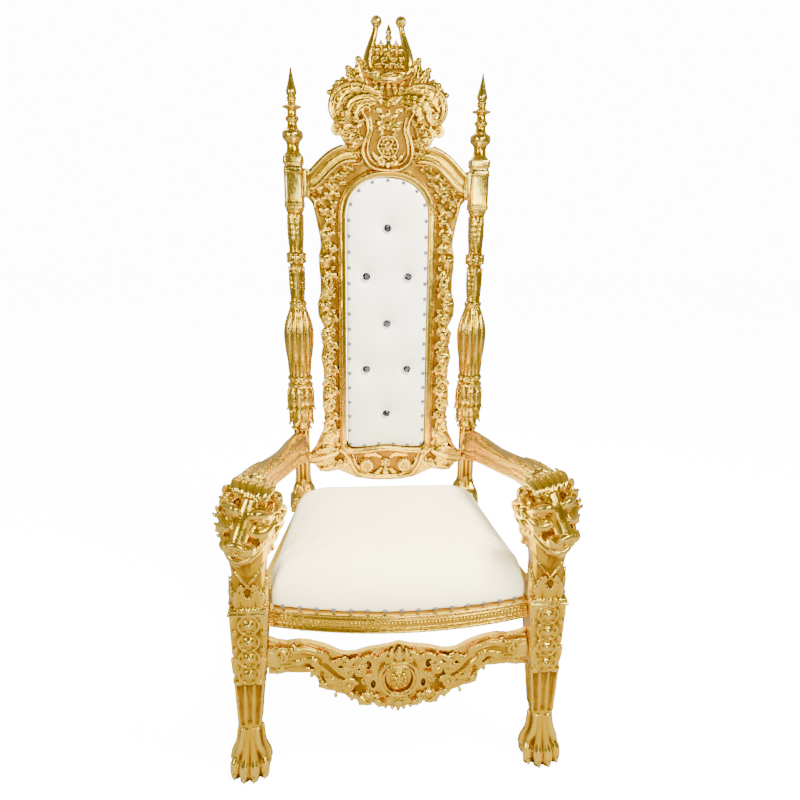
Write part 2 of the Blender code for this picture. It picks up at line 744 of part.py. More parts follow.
def button_places():
    """(x, z) of the seven buttons from the top down, one and two in turn."""
    top = OPENING_SPRING + OPENING_ARCH - BUTTON_TOP_DROP
    places = []
    for row in range(5):
        z = top - BUTTON_SPACING * row
        places += [(-BUTTON_COLUMN, z), (BUTTON_COLUMN, z)] if row % 2 else [(0.0, z)]
    return places


def pad_edge_y(z):
    """Y of the pad's front at its edge."""
    return FRAME_FRONT_Y + BACK_RAKE * z + PAD_SETBACK


def button_seat_y(z):
    """Y of the flat bottom of a button's well."""
    return pad_edge_y(z) - PAD_DOME * 0.45


def build_pad():
    """The pad: a domed front in the frame's opening, with a well for each button."""
    shape = bmesh.new()
    middle_z = (OPENING_BOTTOM + OPENING_SPRING + OPENING_ARCH) / 2
    outline = opening_outline(-GAP, arch_points=6)
    rings = [[Vector((x, frame_rear_y(z) - PAD_REAR_INSET, z)) for x, z in outline]]
    for inward, dome in ((0.0, 0.0), (0.06, 0.6), (0.30, 1.0)):
        ring = []
        for x, z in outline:
            reach = middle_z + (z - middle_z) * (1 - inward * 0.35)
            ring.append(Vector((x * (1 - inward), pad_edge_y(reach) - PAD_DOME * dome, reach)))
        rings.append(ring)
    add_rings(shape, rings)
    mesh = mesh_of(shape, "back_pad")
    wells = []
    for x, z in button_places():
        well = bmesh.new()
        seat = button_seat_y(z)
        rings = []
        for y in (seat, seat - 0.05):
            ring = []
            for side in range(BUTTON_SIDES):
                angle = 2 * math.pi * side / BUTTON_SIDES
                reach = BUTTON_RADIUS + BUTTON_CLEARANCE
                ring.append(Vector((x + reach * math.cos(angle), y, z + reach * math.sin(angle))))
            rings.append(ring)
        add_rings(well, rings)
        wells.append(mesh_of(well, "well"))
    link("back_pad", carved_away(mesh, wells), BACK_WHITE)


def build_buttons():
    """Seven domed crystal buttons, one in each well."""
    for number, (x, z) in enumerate(button_places(), start=1):
        shape = bmesh.new()
        rear = button_seat_y(z) - GAP
        rings = []
        for share, width in ((0.0, 0.95), (0.45, 1.0), (1.0, 0.42)):
            ring = []
            for side in range(BUTTON_SIDES):
                angle = 2 * math.pi * side / BUTTON_SIDES
                reach = BUTTON_RADIUS * width
                ring.append(Vector((x + reach * math.cos(angle), rear - BUTTON_HEIGHT * share,
                                    z + reach * math.sin(angle))))
            rings.append(ring)
        add_rings(shape, rings)
        name = f"tuft_button_{number}"
        link(name, mesh_of(shape, name), CRYSTAL)


# Arms

def build_arms():
    """The arms: from the posts' stems they curve out to the lions' manes."""
    root_x, root_y = post_axis(ARM_ROOT_HEIGHT)
    root_tall = 0.0385
    start_y = root_y - post_width_between(ARM_ROOT_HEIGHT - root_tall, ARM_ROOT_HEIGHT + root_tall) - GAP
    start_x = root_x - POST_STEM_HALF + ARM_ROOT_HALF + GAP
    end_y = leg_rear_y() + GAP
    end_x = LEG_SPACING / 2 - 0.010
    rise = ARM_REST_HEIGHT - ARM_ROOT_HEIGHT
    stations = ((0.0, 0.00, 0.00, ARM_ROOT_HALF, root_tall), (0.10, 0.06, 0.12, ARM_ROOT_HALF, 0.0410),
                (0.24, 0.20, 0.30, 0.0240, 0.0355), (0.45, 0.37, 0.50, 0.0265, 0.0270),
                (0.66, 0.66, 0.68, 0.0325, 0.0235), (0.86, 0.90, 0.91, 0.0365, 0.0235),
                (1.0, 1.0, 1.0, 0.0370, 0.0245))
    section = ((-1.0, -0.75), (-0.80, -1.0), (0.55, -0.85), (0.95, -0.25), (1.0, 0.35), (0.80, 0.85),
               (0.1, 1.0), (-0.65, 0.80), (-0.90, 0.20), (-0.78, -0.20))
    shape = bmesh.new()
    rings = []
    for along, out, up, half, tall in stations:
        x = start_x + (end_x - start_x) * out
        y = start_y + (end_y - start_y) * along
        z = ARM_ROOT_HEIGHT + rise * up
        rings.append([Vector((x + half * a, y, z + tall * b)) for a, b in section])
    first = rings[0]
    for point in first:
        point.y += BACK_RAKE * (point.z - ARM_ROOT_HEIGHT)
    add_rings(shape, rings)
    pair("arm", mesh_of(shape, "arm"), GOLD)


# Front legs and lions

def tapered_block(shape, lower, upper):
    """A block round the leg's axis between two levels, each a height, a half width and a rear y."""
    x = LEG_SPACING / 2
    rings = []
    for z, half, rear in (lower, upper):
        front = LEG_AXIS_Y - half
        rings.append([Vector((x - half, front, z)), Vector((x + half, front, z)), Vector((x + half, rear, z)),
                      Vector((x - half, rear, z))])
    add_rings(shape, rings)


def leg_shapes(shape):
    """The leg below the lion: block with rosettes, flutes and paw."""
    x = LEG_SPACING / 2
    rear = leg_rear_y()
    foot_half = BLOCK_FOOT_WIDTH / 2
    flute_half = FLUTE_FOOT_WIDTH / 2
    tapered_block(shape, (BLOCK_BOTTOM, foot_half, rear), (SEAT_RAIL_TOP + 0.01, BLOCK_WIDTH / 2, rear))
    tapered_block(shape, (FLUTE_BOTTOM - 0.02, flute_half - 0.003, LEG_AXIS_Y + flute_half - 0.003),
                  (BLOCK_BOTTOM + 0.01, foot_half - 0.005, LEG_AXIS_Y + foot_half - 0.002))
    spacing = (SEAT_RAIL_TOP - BLOCK_BOTTOM) / ROSETTES_PER_LEG
    for index in range(ROSETTES_PER_LEG):
        z = SEAT_RAIL_TOP - spacing * (index + 0.5)
        front = LEG_AXIS_Y - block_half(z)
        sheet = Sheet(shape)
        sheet.rose(x * 1000, z * 1000, 23, -front * 1000 + 2, petals=6)
    for index in range(4):
        share = (index - 1.5) / 1.5
        for face in ("front", "inner", "outer"):
            path = []
            for z, half in ((BLOCK_BOTTOM - 0.006, foot_half - 0.006), (FLUTE_BOTTOM, flute_half - 0.004)):
                across = share * half * 0.86
                if face == "front":
                    path.append(Vector((x + across, LEG_AXIS_Y - half, z)))
                else:
                    side = 1 if face == "outer" else -1
                    path.append(Vector((x + side * half, LEG_AXIS_Y + across, z)))
            add_rod(shape, path, 0.0042, sides=6)
    paw_shapes(shape, x)


def paw_shapes(shape, x):
    """A clawed paw with four toes and a side toe."""
    half = PAW_WIDTH / 2
    y = LEG_AXIS_Y
    path = [Vector((x, y - 0.002, FLUTE_BOTTOM)), Vector((x, y - 0.002, 0.10)), Vector((x, y - 0.004, 0.05)),
            Vector((x, y - 0.006, -SOLE_DEPTH))]
    add_rod(shape, path, (half * 0.56, half * 0.58, half * 0.72, half * 0.80), sides=8)
    for toe in range(4):
        share = (toe - 1.5) / 1.5
        foot_x = x + share * half * 0.74
        reach = 0.048 - 0.018 * abs(share)
        points = [Vector((x + share * half * 0.42, y - 0.026, 0.125)),
                  Vector((x + share * half * 0.58, y - 0.034, 0.062)),
                  Vector((foot_x, y - reach + 0.004, 0.034)), Vector((foot_x, y - reach, 0.014)),
                  Vector((foot_x, y - reach + 0.004, -SOLE_DEPTH))]
        add_rod(shape, points, (0.007, 0.0095, 0.0125, 0.0115, 0.010), sides=6)
    add_ball(shape, Vector((x - half * 0.72, y + 0.012, 0.040)), (0.012, 0.014, 0.020))
    add_ball(shape, Vector((x + half * 0.72, y + 0.012, 0.040)), (0.012, 0.014, 0.020))
    add_ball(shape, Vector((x, y + 0.016, 0.022)), (half * 0.8, 0.026, 0.034))


def lion_shapes(shape):
    """The lion's chest, ruffle, head and mane, drawn in millimetres for a 300 mm tall lion."""
    scale = LION_HEIGHT / 0.300
    unit = scale / 1000
    base = SEAT_RAIL_TOP + 0.024
    x = LEG_SPACING / 2
    y = LEG_AXIS_Y
    rear = leg_rear_y()
    half = BLOCK_WIDTH / 2
    add_box(shape, (x - half - 0.005, y - half - 0.006, SEAT_RAIL_TOP + 0.004), (x + half + 0.005, rear, base))
    chest = []
    for z, wide, front, back in ((0, 41, 40, 42), (50, 39, 37, 41), (100, 42, 39, 43), (150, 52, 44, 44),
                                 (230, 46, 30, 44), (262, 30, 16, 44)):
        centre_y = (back - front) / 2 * unit
        ring = []
        for side in range(10):
            angle = 2 * math.pi * side / 10
            ring.append(Vector((x + wide * unit * math.cos(angle),
                                y + centre_y + (front + back) / 2 * unit * math.sin(angle), base + z * unit)))
        chest.append(ring)
    add_rings(shape, chest)
    for index in range(9):
        angle = math.radians(180 + 180 * index / 8)
        reach = half * 0.95
        root = Vector((x + reach * math.cos(angle), y + reach * 0.9 * math.sin(angle), base - 0.006))
        tip = root + Vector((0.010 * math.cos(angle), 0.012 * math.sin(angle), 0.040 * scale))
        add_rod(shape, [root, (root + tip) / 2 + Vector((0, 0, 0.004)), tip], (0.010, 0.011, 0.003), sides=6)
    for side in (-1, 1):
        low = Vector((x, y - 41 * unit, base + 62 * unit))
        high = Vector((x + side * 36 * unit, y - 26 * unit, base + 112 * unit))
        foot = Vector((x + side * 34 * unit, y - 30 * unit, base + 22 * unit))
        add_rod(shape, [high, low], (0.007, 0.006), sides=6)
        add_rod(shape, [foot, low], (0.006, 0.005), sides=6)
    turn = Matrix.Rotation(HEAD_TURN, 3, "Z") @ Matrix.Rotation(HEAD_NOD, 3, "X")
    turn = turn @ Matrix.Rotation(-HEAD_TILT, 3, "Y")
    centre = Vector((x - 0.004, y - 0.014, base + 205 * unit))

    def at(px, py, pz):
        return centre + turn @ (Vector((px, py, pz)) * unit)

    def ball(px, py, pz, rx, ry, rz):
        add_ball(shape, at(px, py, pz), (rx * unit, ry * unit, rz * unit), turn)

    ball(0, 10, 0, 54, 38, 54)
    ball(0, -46, -10, 32, 36, 20)
    ball(0, -78, -8, 20, 11, 10)
    ball(0, -40, 14, 20, 40, 16)
    for side in (-1, 1):
        ball(side * 17, -68, -24, 20, 18, 15)
        ball(side * 36, -26, -12, 20, 26, 22)
        ball(side * 28, -36, 34, 20, 13, 10)
        ball(side * 28, -34, 16, 9, 8, 8)
        ball(side * 50, 2, 46, 14, 12, 15)
    ball(0, -40, -60, 31, 32, 12)
    ball(0, -62, -57, 22, 12, 10)
    ball(0, -16, -40, 30, 22, 24)
    locks = 12
    for index in range(locks + 1):
        angle = math.radians(-58 + 296 * index / locks)
        out = Vector((math.cos(angle), 0, math.sin(angle)))
        for ring, (inner, outer, back) in enumerate(((44, 70, 0), (46, 74, 24))):
            swing = 0.26 if (index + ring) % 2 else -0.20
            side_way = Vector((-out.z, 0, out.x)) * swing
            points = [out * inner + Vector((0, back + 4, 0)), out * (inner + outer) / 2 + Vector((0, back - 8, 0)),
                      (out + side_way) * outer + Vector((0, back + 2, 0))]
            path = [at(*point) for point in points]
            add_rod(shape, path, (12 * unit, 11 * unit, 5 * unit), facing=turn @ Vector((0, -1, 0)), sides=6)


def build_lion_legs():
    """The front legs, each one piece from the lion's mane down to the paw."""
    shape = bmesh.new()
    leg_shapes(shape)
    for vertex in shape.verts:
        vertex.co.x += leg_splay(vertex.co.z)
    lion_shapes(shape)
    mesh = fused(shape, "lion_leg", LION_LEG_FACES)
    rear = bmesh.new()
    add_box(rear, (0.0, leg_rear_y(), -0.1), (0.8, 0.5, 1.2))
    floor = bmesh.new()
    add_box(floor, (0.0, -0.6, -0.2), (0.8, 0.6, 0.0))
    inner = bmesh.new()
    rings = []
    for z in (BLOCK_BOTTOM, SEAT_RAIL_TOP + 0.10):
        edge = leg_inner_x(min(z, SEAT_RAIL_TOP))
        rings.append([Vector((0.0, -0.6, z)), Vector((edge, -0.6, z)), Vector((edge, 0.4, z)),
                      Vector((0.0, 0.4, z))])
    rings.insert(1, [Vector((leg_inner_x(SEAT_RAIL_TOP) if point.x else 0.0, point.y, SEAT_RAIL_TOP))
                     for point in rings[0]])
    add_rings(inner, rings)
    cutters = [mesh_of(rear, "rear"), mesh_of(floor, "floor"), mesh_of(inner, "inner")]
    pair("lion_leg", carved_away(mesh, cutters), GOLD)


# Seat rails, rear legs, stretcher and cushion

def rail_bow(x):
    """How far forward the front rail's face stands at x."""
    half = leg_inner_x(SEAT_RAIL_TOP)
    return FRONT_RAIL_FACE + FRONT_RAIL_BOW * (1 - (x / half) ** 2)


def build_front_rail():
    """The bowed front rail with its raised band."""
    shape = bmesh.new()
    bottom = SEAT_RAIL_TOP - RAIL_HEIGHT
    section = ((0.0, 0.0), (0.0, 0.28), (0.004, 0.34), (0.004, 0.66), (0.0, 0.72), (0.0, 1.0))
    rings = []
    steps = 14
    for step in range(steps + 1):
        share = -1 + 2 * step / steps
        ring = []
        for out, up in section:
            z = bottom + up * RAIL_HEIGHT
            x = share * (leg_inner_x(z) - GAP)
            ring.append(Vector((x, -rail_bow(x) - out, z)))
        for z in (SEAT_RAIL_TOP, bottom):
            x = share * (leg_inner_x(z) - GAP)
            ring.append(Vector((x, -rail_bow(x) + RAIL_THICKNESS, z)))
        rings.append(ring)
    add_rings(shape, rings)
    link("front_rail", mesh_of(shape, "front_rail"), GOLD)


def rear_leg_rings():
    """Rings of the right rear leg, from the seat down to its foot."""
    rings = []
    x, y = post_axis(SEAT_RAIL_TOP)
    for share, width in ((1.0, REAR_LEG_TOP), (0.88, REAR_LEG_TOP), (0.4, 0.5 * (REAR_LEG_TOP + REAR_LEG_FOOT)),
                         (0.0, REAR_LEG_FOOT)):
        half = width / 2
        back = REAR_LEG_KICK * (1 - share) ** 1.5 if share < 0.88 else 0.0
        z = SEAT_RAIL_TOP * share
        rings.append([Vector((x + a * half, y + back + b * half, z)) for a, b in ((-1, -1), (1, -1), (1, 1), (-1, 1))])
    return rings


def build_rear_legs():
    """Plain tapered rear legs that kick back."""
    shape = bmesh.new()
    add_rings(shape, rear_leg_rings())
    pair("rear_leg", mesh_of(shape, "rear_leg"), GOLD)


def build_rails():
    """The plain side rails and rear rail under the cushion."""
    bottom = SEAT_RAIL_TOP - RAIL_HEIGHT
    x, y = post_axis(SEAT_RAIL_TOP)
    half = REAR_LEG_TOP / 2
    front_y = leg_rear_y() + GAP
    rear_y = y - half - GAP
    front_x = leg_inner_x(bottom) + RAIL_THICKNESS + 0.006
    rear_x = x + half
    shape = bmesh.new()
    rings = []
    for z in (bottom, SEAT_RAIL_TOP):
        rings.append([Vector((front_x - RAIL_THICKNESS, front_y, z)), Vector((front_x, front_y, z)),
                      Vector((rear_x, rear_y, z)), Vector((rear_x - RAIL_THICKNESS, rear_y, z))])
    add_rings(shape, rings)
    pair("side_rail", mesh_of(shape, "side_rail"), GOLD)
    shape = bmesh.new()
    reach = x - half - GAP
    add_box(shape, (-reach, y - half, bottom), (reach, y - half + REAR_RAIL_THICKNESS, SEAT_RAIL_TOP))
    link("rear_rail", mesh_of(shape, "rear_rail"), GOLD)


def stretcher_motifs(sheet):
    """The right half of the stretcher's relief, in millimetres from its upper end corner."""
    sheet.rod([(302, -52), (262, -58), (224, -50), (188, -62), (158, -92), (132, -120), (104, -132)],
              (34, 30, 26, 26, 24, 20, 14), 12, 0.5, sides=8)
    sheet.rod([(286, -22), (250, -20), (214, -20), (176, -38), (146, -58), (122, -68)], (6, 8, 8, 8, 7, 5), 24)
    sheet.rod([(284, -78), (256, -94), (226, -96), (204, -102), (182, -132), (160, -152)], (6, 8, 7, 7, 8, 5), 22)
    sheet.scroll(272, -46, 16, math.pi / 2, 1.0, 7, 22)
    sheet.leaf((262, -60), (206, -46), 12, 24, 0.6)
    sheet.leaf((206, -58), (160, -92), 12, 24, 0.6)
    sheet.scroll(120, -136, 20, math.pi, -1.1, 8, 22)
    sheet.scroll(92, -100, 20, 0.0, 1.1, 8, 22)
    sheet.leaf((140, -80), (94, -52), 11, 22, 0.6)
    sheet.leaf((100, -78), (60, -42), 11, 22, 0.6)
    sheet.rose(72, -168, 20, 17)
    sheet.leaf((110, -160), (64, -196), 11, 20, 0.6)
    sheet.leaf((60, -172), (28, -202), 11, 20, 0.6)
    sheet.leaf((50, -70), (28, -36), 10, 22, 0.7)
    border = [(0, -82), (26, -78), (42, -94), (46, -120), (38, -148), (20, -166), (0, -172)]
    sheet.rod(border, 7, 26)
    sheet.leaf((20, -60), (13, -32), 8, 24, 0.8)


def build_stretcher():
    """The carved apron between the front legs."""
    shape = bmesh.new()
    right = [(0, -30), (46, -40), (86, -47), (112, -54), (138, -52), (172, -34), (222, -16), (264, -20),
             (306, -4), (306, -100), (262, -98), (228, -100), (208, -98), (188, -126), (150, -160), (110, -172),
             (78, -194), (40, -196), (0, -208)]
    flat = [(x / 1000, z / 1000) for x, z in right]
    outline = flat + [(-x, z) for x, z in reversed(flat[1:-1])]
    add_plate(shape, outline, 0.0, STRETCHER_THICKNESS * 0.5)
    for sheet in both_sides(shape):
        stretcher_motifs(sheet)
    sheet = Sheet(shape)
    sheet.ball(0, -124, 14, 42, 46, 14)
    sheet.rose(0, -122, 22, 26)
    sheet.leaf((0, -62), (0, -28), 9, 26, 0.8)
    sheet.leaf((0, -176), (0, -214), 12, 20, 0.7)
    reach = leg_inner_x(BLOCK_BOTTOM) + 0.002
    drawn_half, drawn_depth = 306, 213
    stretch = (reach * 1000 / drawn_half, 1, STRETCHER_DEPTH * 1000 / drawn_depth)
    bmesh.ops.scale(shape, vec=stretch, verts=shape.verts)
    place = Vector((0, LEG_AXIS_Y + STRETCHER_THICKNESS / 2, STRETCHER_TOP))
    bmesh.ops.translate(shape, vec=place, verts=shape.verts)
    mesh = fused(shape, "front_stretcher", STRETCHER_FACES, symmetric=True)
    end = bmesh.new()
    rings = []
    for z in (0.0, BLOCK_BOTTOM, SEAT_RAIL_TOP):
        edge = leg_inner_x(max(z, BLOCK_BOTTOM)) - GAP
        rings.append([Vector((edge, -0.6, z)), Vector((0.6, -0.6, z)), Vector((0.6, 0.2, z)), Vector((edge, 0.2, z))])
    add_rings(end, rings)
    cutter = mesh_of(end, "end")
    link("front_stretcher", carved_away(mesh, [cutter, mirrored(cutter, "end_left")]), GOLD)


def cushion_outline():
    """Plan of the cushion's foot: it bows at the front, is notched at the legs and narrows to the rear."""
    inner = leg_inner_x(SEAT_RAIL_TOP) - 0.004
    rear_of_leg = leg_rear_y() + 0.002
    points = []
    steps = 6
    for step in range(steps + 1):
        x = inner * step / steps
        points.append((x, -rail_bow(x) + 0.002))
    points += [(inner, rear_of_leg), (inner + CUSHION_FLARE, rear_of_leg + 0.012)]
    for step in range(1, 4):
        share = step / 4
        side = inner + CUSHION_FLARE + (CUSHION_REAR_HALF - inner - CUSHION_FLARE) * share
        points.append((side, rear_of_leg + 0.012 + (CUSHION_REAR - rear_of_leg - 0.012) * share))
    points += [(CUSHION_REAR_HALF, CUSHION_REAR - 0.020), (CUSHION_REAR_HALF - 0.020, CUSHION_REAR),
               (CUSHION_REAR_HALF / 2, CUSHION_REAR)]
    left = [(-x, y) for x, y in reversed(points[1:])]
    return points + [(0.0, CUSHION_REAR)] + left


def build_cushion():
    """The domed seat cushion on the rails."""
    shape = bmesh.new()
    outline = cushion_outline()
    bottom = SEAT_RAIL_TOP + GAP
    middle_y = 0.02
    rings = []
    for inward, up in ((0.0, 0.0), (0.0, 0.30), (0.02, 0.56), (0.07, 0.76), (0.20, 0.92), (0.55, 1.0)):
        ring = []
        for x, y in outline:
            ring.append(Vector((x * (1 - inward), middle_y + (y - middle_y) * (1 - inward * 0.92),
                                bottom + CUSHION_HEIGHT * up)))
        rings.append(ring)
    add_rings(shape, rings)
    link("seat_cushion", mesh_of(shape, "seat_cushion"), SEAT_CREAM)


def main():
    """Clears the scene and builds every piece."""
    for item in list(bpy.data.objects):
        bpy.data.objects.remove(item)
    build_posts()
    build_back_frame()
    build_crest()
    build_pad()
    build_buttons()
    build_arms()
    build_lion_legs()
    build_front_rail()
    build_rear_legs()
    build_rails()
    build_stretcher()
    build_cushion()


main()
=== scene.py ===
"""Looks of a tall carved and gilded throne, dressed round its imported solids.

Metres, +Z up, front towards -Y. Carving is drawn in millimetres as (right, up, out) points, where out is
towards the viewer. Shapes that overlap are fused into one skin, as one carving has one gilded skin.
"""

import logging
import math
from dataclasses import dataclass
from enum import Enum
from functools import lru_cache
from typing import Callable, Sequence

import bmesh
import bpy
import numpy as np
from mathutils import Matrix, Vector


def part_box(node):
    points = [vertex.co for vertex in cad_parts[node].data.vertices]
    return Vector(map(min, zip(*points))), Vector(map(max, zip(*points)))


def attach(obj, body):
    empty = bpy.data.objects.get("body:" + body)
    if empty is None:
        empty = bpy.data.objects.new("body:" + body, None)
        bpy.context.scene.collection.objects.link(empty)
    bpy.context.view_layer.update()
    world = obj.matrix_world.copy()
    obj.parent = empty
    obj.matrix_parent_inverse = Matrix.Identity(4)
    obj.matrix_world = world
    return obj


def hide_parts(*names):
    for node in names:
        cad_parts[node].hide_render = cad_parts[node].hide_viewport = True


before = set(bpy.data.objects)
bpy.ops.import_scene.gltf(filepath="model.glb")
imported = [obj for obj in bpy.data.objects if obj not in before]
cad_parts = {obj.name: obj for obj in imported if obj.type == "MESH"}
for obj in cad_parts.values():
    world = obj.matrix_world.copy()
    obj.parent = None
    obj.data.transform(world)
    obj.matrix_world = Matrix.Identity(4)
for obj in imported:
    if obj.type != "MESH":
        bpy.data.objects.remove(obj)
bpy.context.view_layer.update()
LOG = logging.getLogger("throne")

MM = 0.001
GAP = 0.0003
OUTWARD = (0.0, 0.0, 1.0)

Point = Sequence[float]
Flat = tuple[float, float]
Spot = tuple[float, float, float]
Colour = tuple[float, float, float, float]
Socket = bpy.types.NodeSocket
Material = bpy.types.Material
Object = bpy.types.Object
Mesh = bpy.types.Mesh


# Shared places

@dataclass(frozen=True)
class Layout:
    """Driving sizes of the throne in metres, as its solids have them, and places worked out from them."""

    seat_rail_top: float = 0.442
    rail_height: float = 0.047
    front_rail_face: float = 0.270
    front_rail_bow: float = 0.045
    leg_spacing: float = 0.680
    leg_axis_y: float = -0.258
    leg_splay: float = 0.0158
    block_width: float = 0.085
    block_foot_width: float = 0.0715
    block_bottom: float = 0.268
    post_spacing: float = 0.489
    post_lean: float = 0.0089
    back_rake: float = 0.021
    post_foot_y: float = 0.2843
    frame_rear: float = 0.282
    opening_half: float = 0.114
    opening_bottom: float = 0.640
    opening_spring: float = 1.295
    opening_arch: float = 0.108
    opening_hump: float = 0.007
    stages: tuple[float, ...] = (0.099, 0.149, 0.141, 0.224, 0.266, 0.132, 0.222)

    def block_half(self, z: float) -> float:
        """Half width of a front leg's tapered block at height z."""
        share = (self.seat_rail_top - z) / (self.seat_rail_top - self.block_bottom)
        return (self.block_width + (self.block_foot_width - self.block_width) * share) / 2

    def leg_inner_x(self, z: float) -> float:
        """X of a front leg's inner face at height z."""
        splay = self.leg_splay * max(self.seat_rail_top - z, 0.0) / self.seat_rail_top
        return self.leg_spacing / 2 + splay - self.block_half(z)

    def leg_rear_y(self) -> float:
        """Y of the flat rear of a front leg."""
        return self.leg_axis_y + self.block_width / 2

    def post_axis(self, z: float) -> Flat:
        """X and Y of the right post's leaning axis at height z."""
        rise = z - self.seat_rail_top
        return self.post_spacing / 2 + self.post_lean * rise, self.post_foot_y + self.back_rake * rise

    def post_stages(self) -> list[float]:
        """Heights in millimetres at which a post's stages begin, with its tip last."""
        heights = [self.seat_rail_top + GAP]
        for stage in self.stages:
            heights.append(heights[-1] + stage)
        return [height / MM for height in heights]

    def rail_bow(self, x: float) -> float:
        """How far forward the front rail's face stands at x."""
        half = self.leg_inner_x(self.seat_rail_top)
        return self.front_rail_face + self.front_rail_bow * (1 - (x / half) ** 2)

    def opening(self, grow: float, arch_points: int = 16, corner: float = 0.018) -> list[Flat]:
        """Closed (x, z) outline of the back's opening, grown outwards.

        Args:
            grow: Distance outwards in metres; negative shrinks it.
            arch_points: Points in each half of the arch.
            corner: Radius of the lower corners.

        Returns:
            The outline's points, anticlockwise from the middle of its foot.
        """
        half = self.opening_half + grow
        rise = self.opening_arch + grow
        bottom = self.opening_bottom - grow
        turn = max(corner + grow, 0.004)
        right = []
        for step in range(1, 7):
            x = (half - turn) * step / 7
            right.append((x, bottom + self.opening_hump * math.cos(math.pi / 2 * step / 6) ** 2))
        for step in range(5):
            angle = math.pi / 2 * (step / 4) - math.pi / 2
            right.append((half - turn + turn * math.cos(angle), bottom + turn + turn * math.sin(angle)))
        for step in range(1, 12):
            right.append((half, bottom + turn + (self.opening_spring - bottom - turn) * step / 12))
        for step in range(arch_points):
            angle = math.pi / 2 * step / arch_points
            right.append((half * math.cos(angle) ** 0.9, self.opening_spring + rise * math.sin(angle) ** 0.9))
        left = [(-x, z) for x, z in reversed(right)]
        return [(0.0, bottom + self.opening_hump)] + right + [(0.0, self.opening_spring + rise)] + left

    def back_sheet(self, foot: float = 0.0, rear_offset: float = 0.0) -> Matrix:
        """Matrix from a drawing on the raked back to the throne.

        Args:
            foot: Height in metres of the drawing's zero.
            rear_offset: How far in front of the frame's rear the drawing's rear lies.

        Returns:
            A matrix for (right, up, out) points in millimetres.
        """
        rear = self.frame_rear - rear_offset + self.back_rake * foot
        return Matrix(((MM, 0, 0, 0), (0, self.back_rake * MM, -MM, rear), (0, MM, 0, foot), (0, 0, 0, 1)))

    def leg_sheet(self) -> Matrix:
        """Matrix from a drawing round the right front leg's axis to the throne."""
        x = self.leg_spacing / 2
        return Matrix(((MM, 0, 0, x), (0, 0, -MM, self.leg_axis_y), (0, MM, 0, 0), (0, 0, 0, 1)))

    def splayed_sheet(self) -> Matrix:
        """Matrix from a drawing round the right front leg's axis to the leg, which splays below the seat."""
        x = self.leg_spacing / 2 + self.leg_splay
        lean = -self.leg_splay * MM / self.seat_rail_top
        return Matrix(((MM, lean, 0, x), (0, 0, -MM, self.leg_axis_y), (0, MM, 0, 0), (0, 0, 0, 1)))

    def post_sheet(self) -> Matrix:
        """Matrix from a drawing round the right post's axis to the leaning post."""
        x, y = self.post_axis(0.0)
        return Matrix(((MM, self.post_lean * MM, 0, x), (0, self.back_rake * MM, -MM, y), (0, MM, 0, 0),
                       (0, 0, 0, 1)))


LAYOUT = Layout()
OTHER_SIDE = Matrix.Diagonal((-1.0, 1.0, 1.0, 1.0))


# Blanks and curves that all carving starts from

def as_mesh(shape: bmesh.types.BMesh, name: str) -> Mesh:
    """Turns a bmesh into a mesh and frees it."""
    mesh = bpy.data.meshes.new(name)
    shape.to_mesh(mesh)
    shape.free()
    return mesh


def placed(name: str, data: object) -> Object:
    """A new object of the scene that holds the given data."""
    item = bpy.data.objects.new(name, data)
    bpy.context.scene.collection.objects.link(item)
    return item


def points_of(mesh: Mesh) -> np.ndarray:
    """The mesh's vertex positions as rows."""
    points = np.empty(len(mesh.vertices) * 3, np.float32)
    mesh.vertices.foreach_get("co", points)
    return points.reshape(-1, 3).astype(float)


@lru_cache(maxsize=None)
def rod_blank(sides: int, rings: int) -> tuple[Mesh, np.ndarray]:
    """A closed straight rod along +Z with rings one apart, made by extruding a circle.

    Args:
        sides: Sides of the rod.
        rings: Rings along it.

    Returns:
        The mesh and its points.
    """
    shape = bmesh.new()
    bmesh.ops.create_circle(shape, cap_ends=True, segments=sides, radius=1.0)
    cap = shape.faces[:]
    for _ in range(rings - 1):
        grown = bmesh.ops.extrude_face_region(shape, geom=cap)["geom"]
        cap = [part for part in grown if isinstance(part, bmesh.types.BMFace)]
        rim = [part for part in grown if isinstance(part, bmesh.types.BMVert)]
        bmesh.ops.translate(shape, vec=(0, 0, 1), verts=rim)
    bmesh.ops.recalc_face_normals(shape, faces=shape.faces)
    mesh = as_mesh(shape, "rod")
    return mesh, points_of(mesh)


@lru_cache(maxsize=None)
def ball_blank(detail: int) -> tuple[Mesh, np.ndarray]:
    """A unit ball and its points."""
    shape = bmesh.new()
    bmesh.ops.create_icosphere(shape, subdivisions=detail, radius=1.0)
    mesh = as_mesh(shape, "ball")
    return mesh, points_of(mesh)


def spline(points: Sequence[Point], count: int) -> np.ndarray:
    """Points along a smooth curve through the given ones.

    Args:
        points: Two or more points that the curve passes through.
        count: How many points to return.

    Returns:
        An array of points, one row each.
    """
    known = np.asarray(points, float)
    ends = np.vstack((2 * known[0] - known[1], known, 2 * known[-1] - known[-2]))
    share = np.linspace(0, len(known) - 1, count)
    span = np.minimum(share.astype(int), len(known) - 2)
    t = (share - span)[:, None]
    a, b, c, d = (ends[span + k] for k in range(4))
    return 0.5 * (2 * b + (c - a) * t + (2 * a - 5 * b + 4 * c - d) * t ** 2
                  + (3 * b - a - 3 * c + d) * t ** 3)


def flat_path(points: Sequence[Flat], out: float) -> list[Spot]:
    """Flat (right, up) points lifted to one depth."""
    return [(x, up, out) for x, up in points]


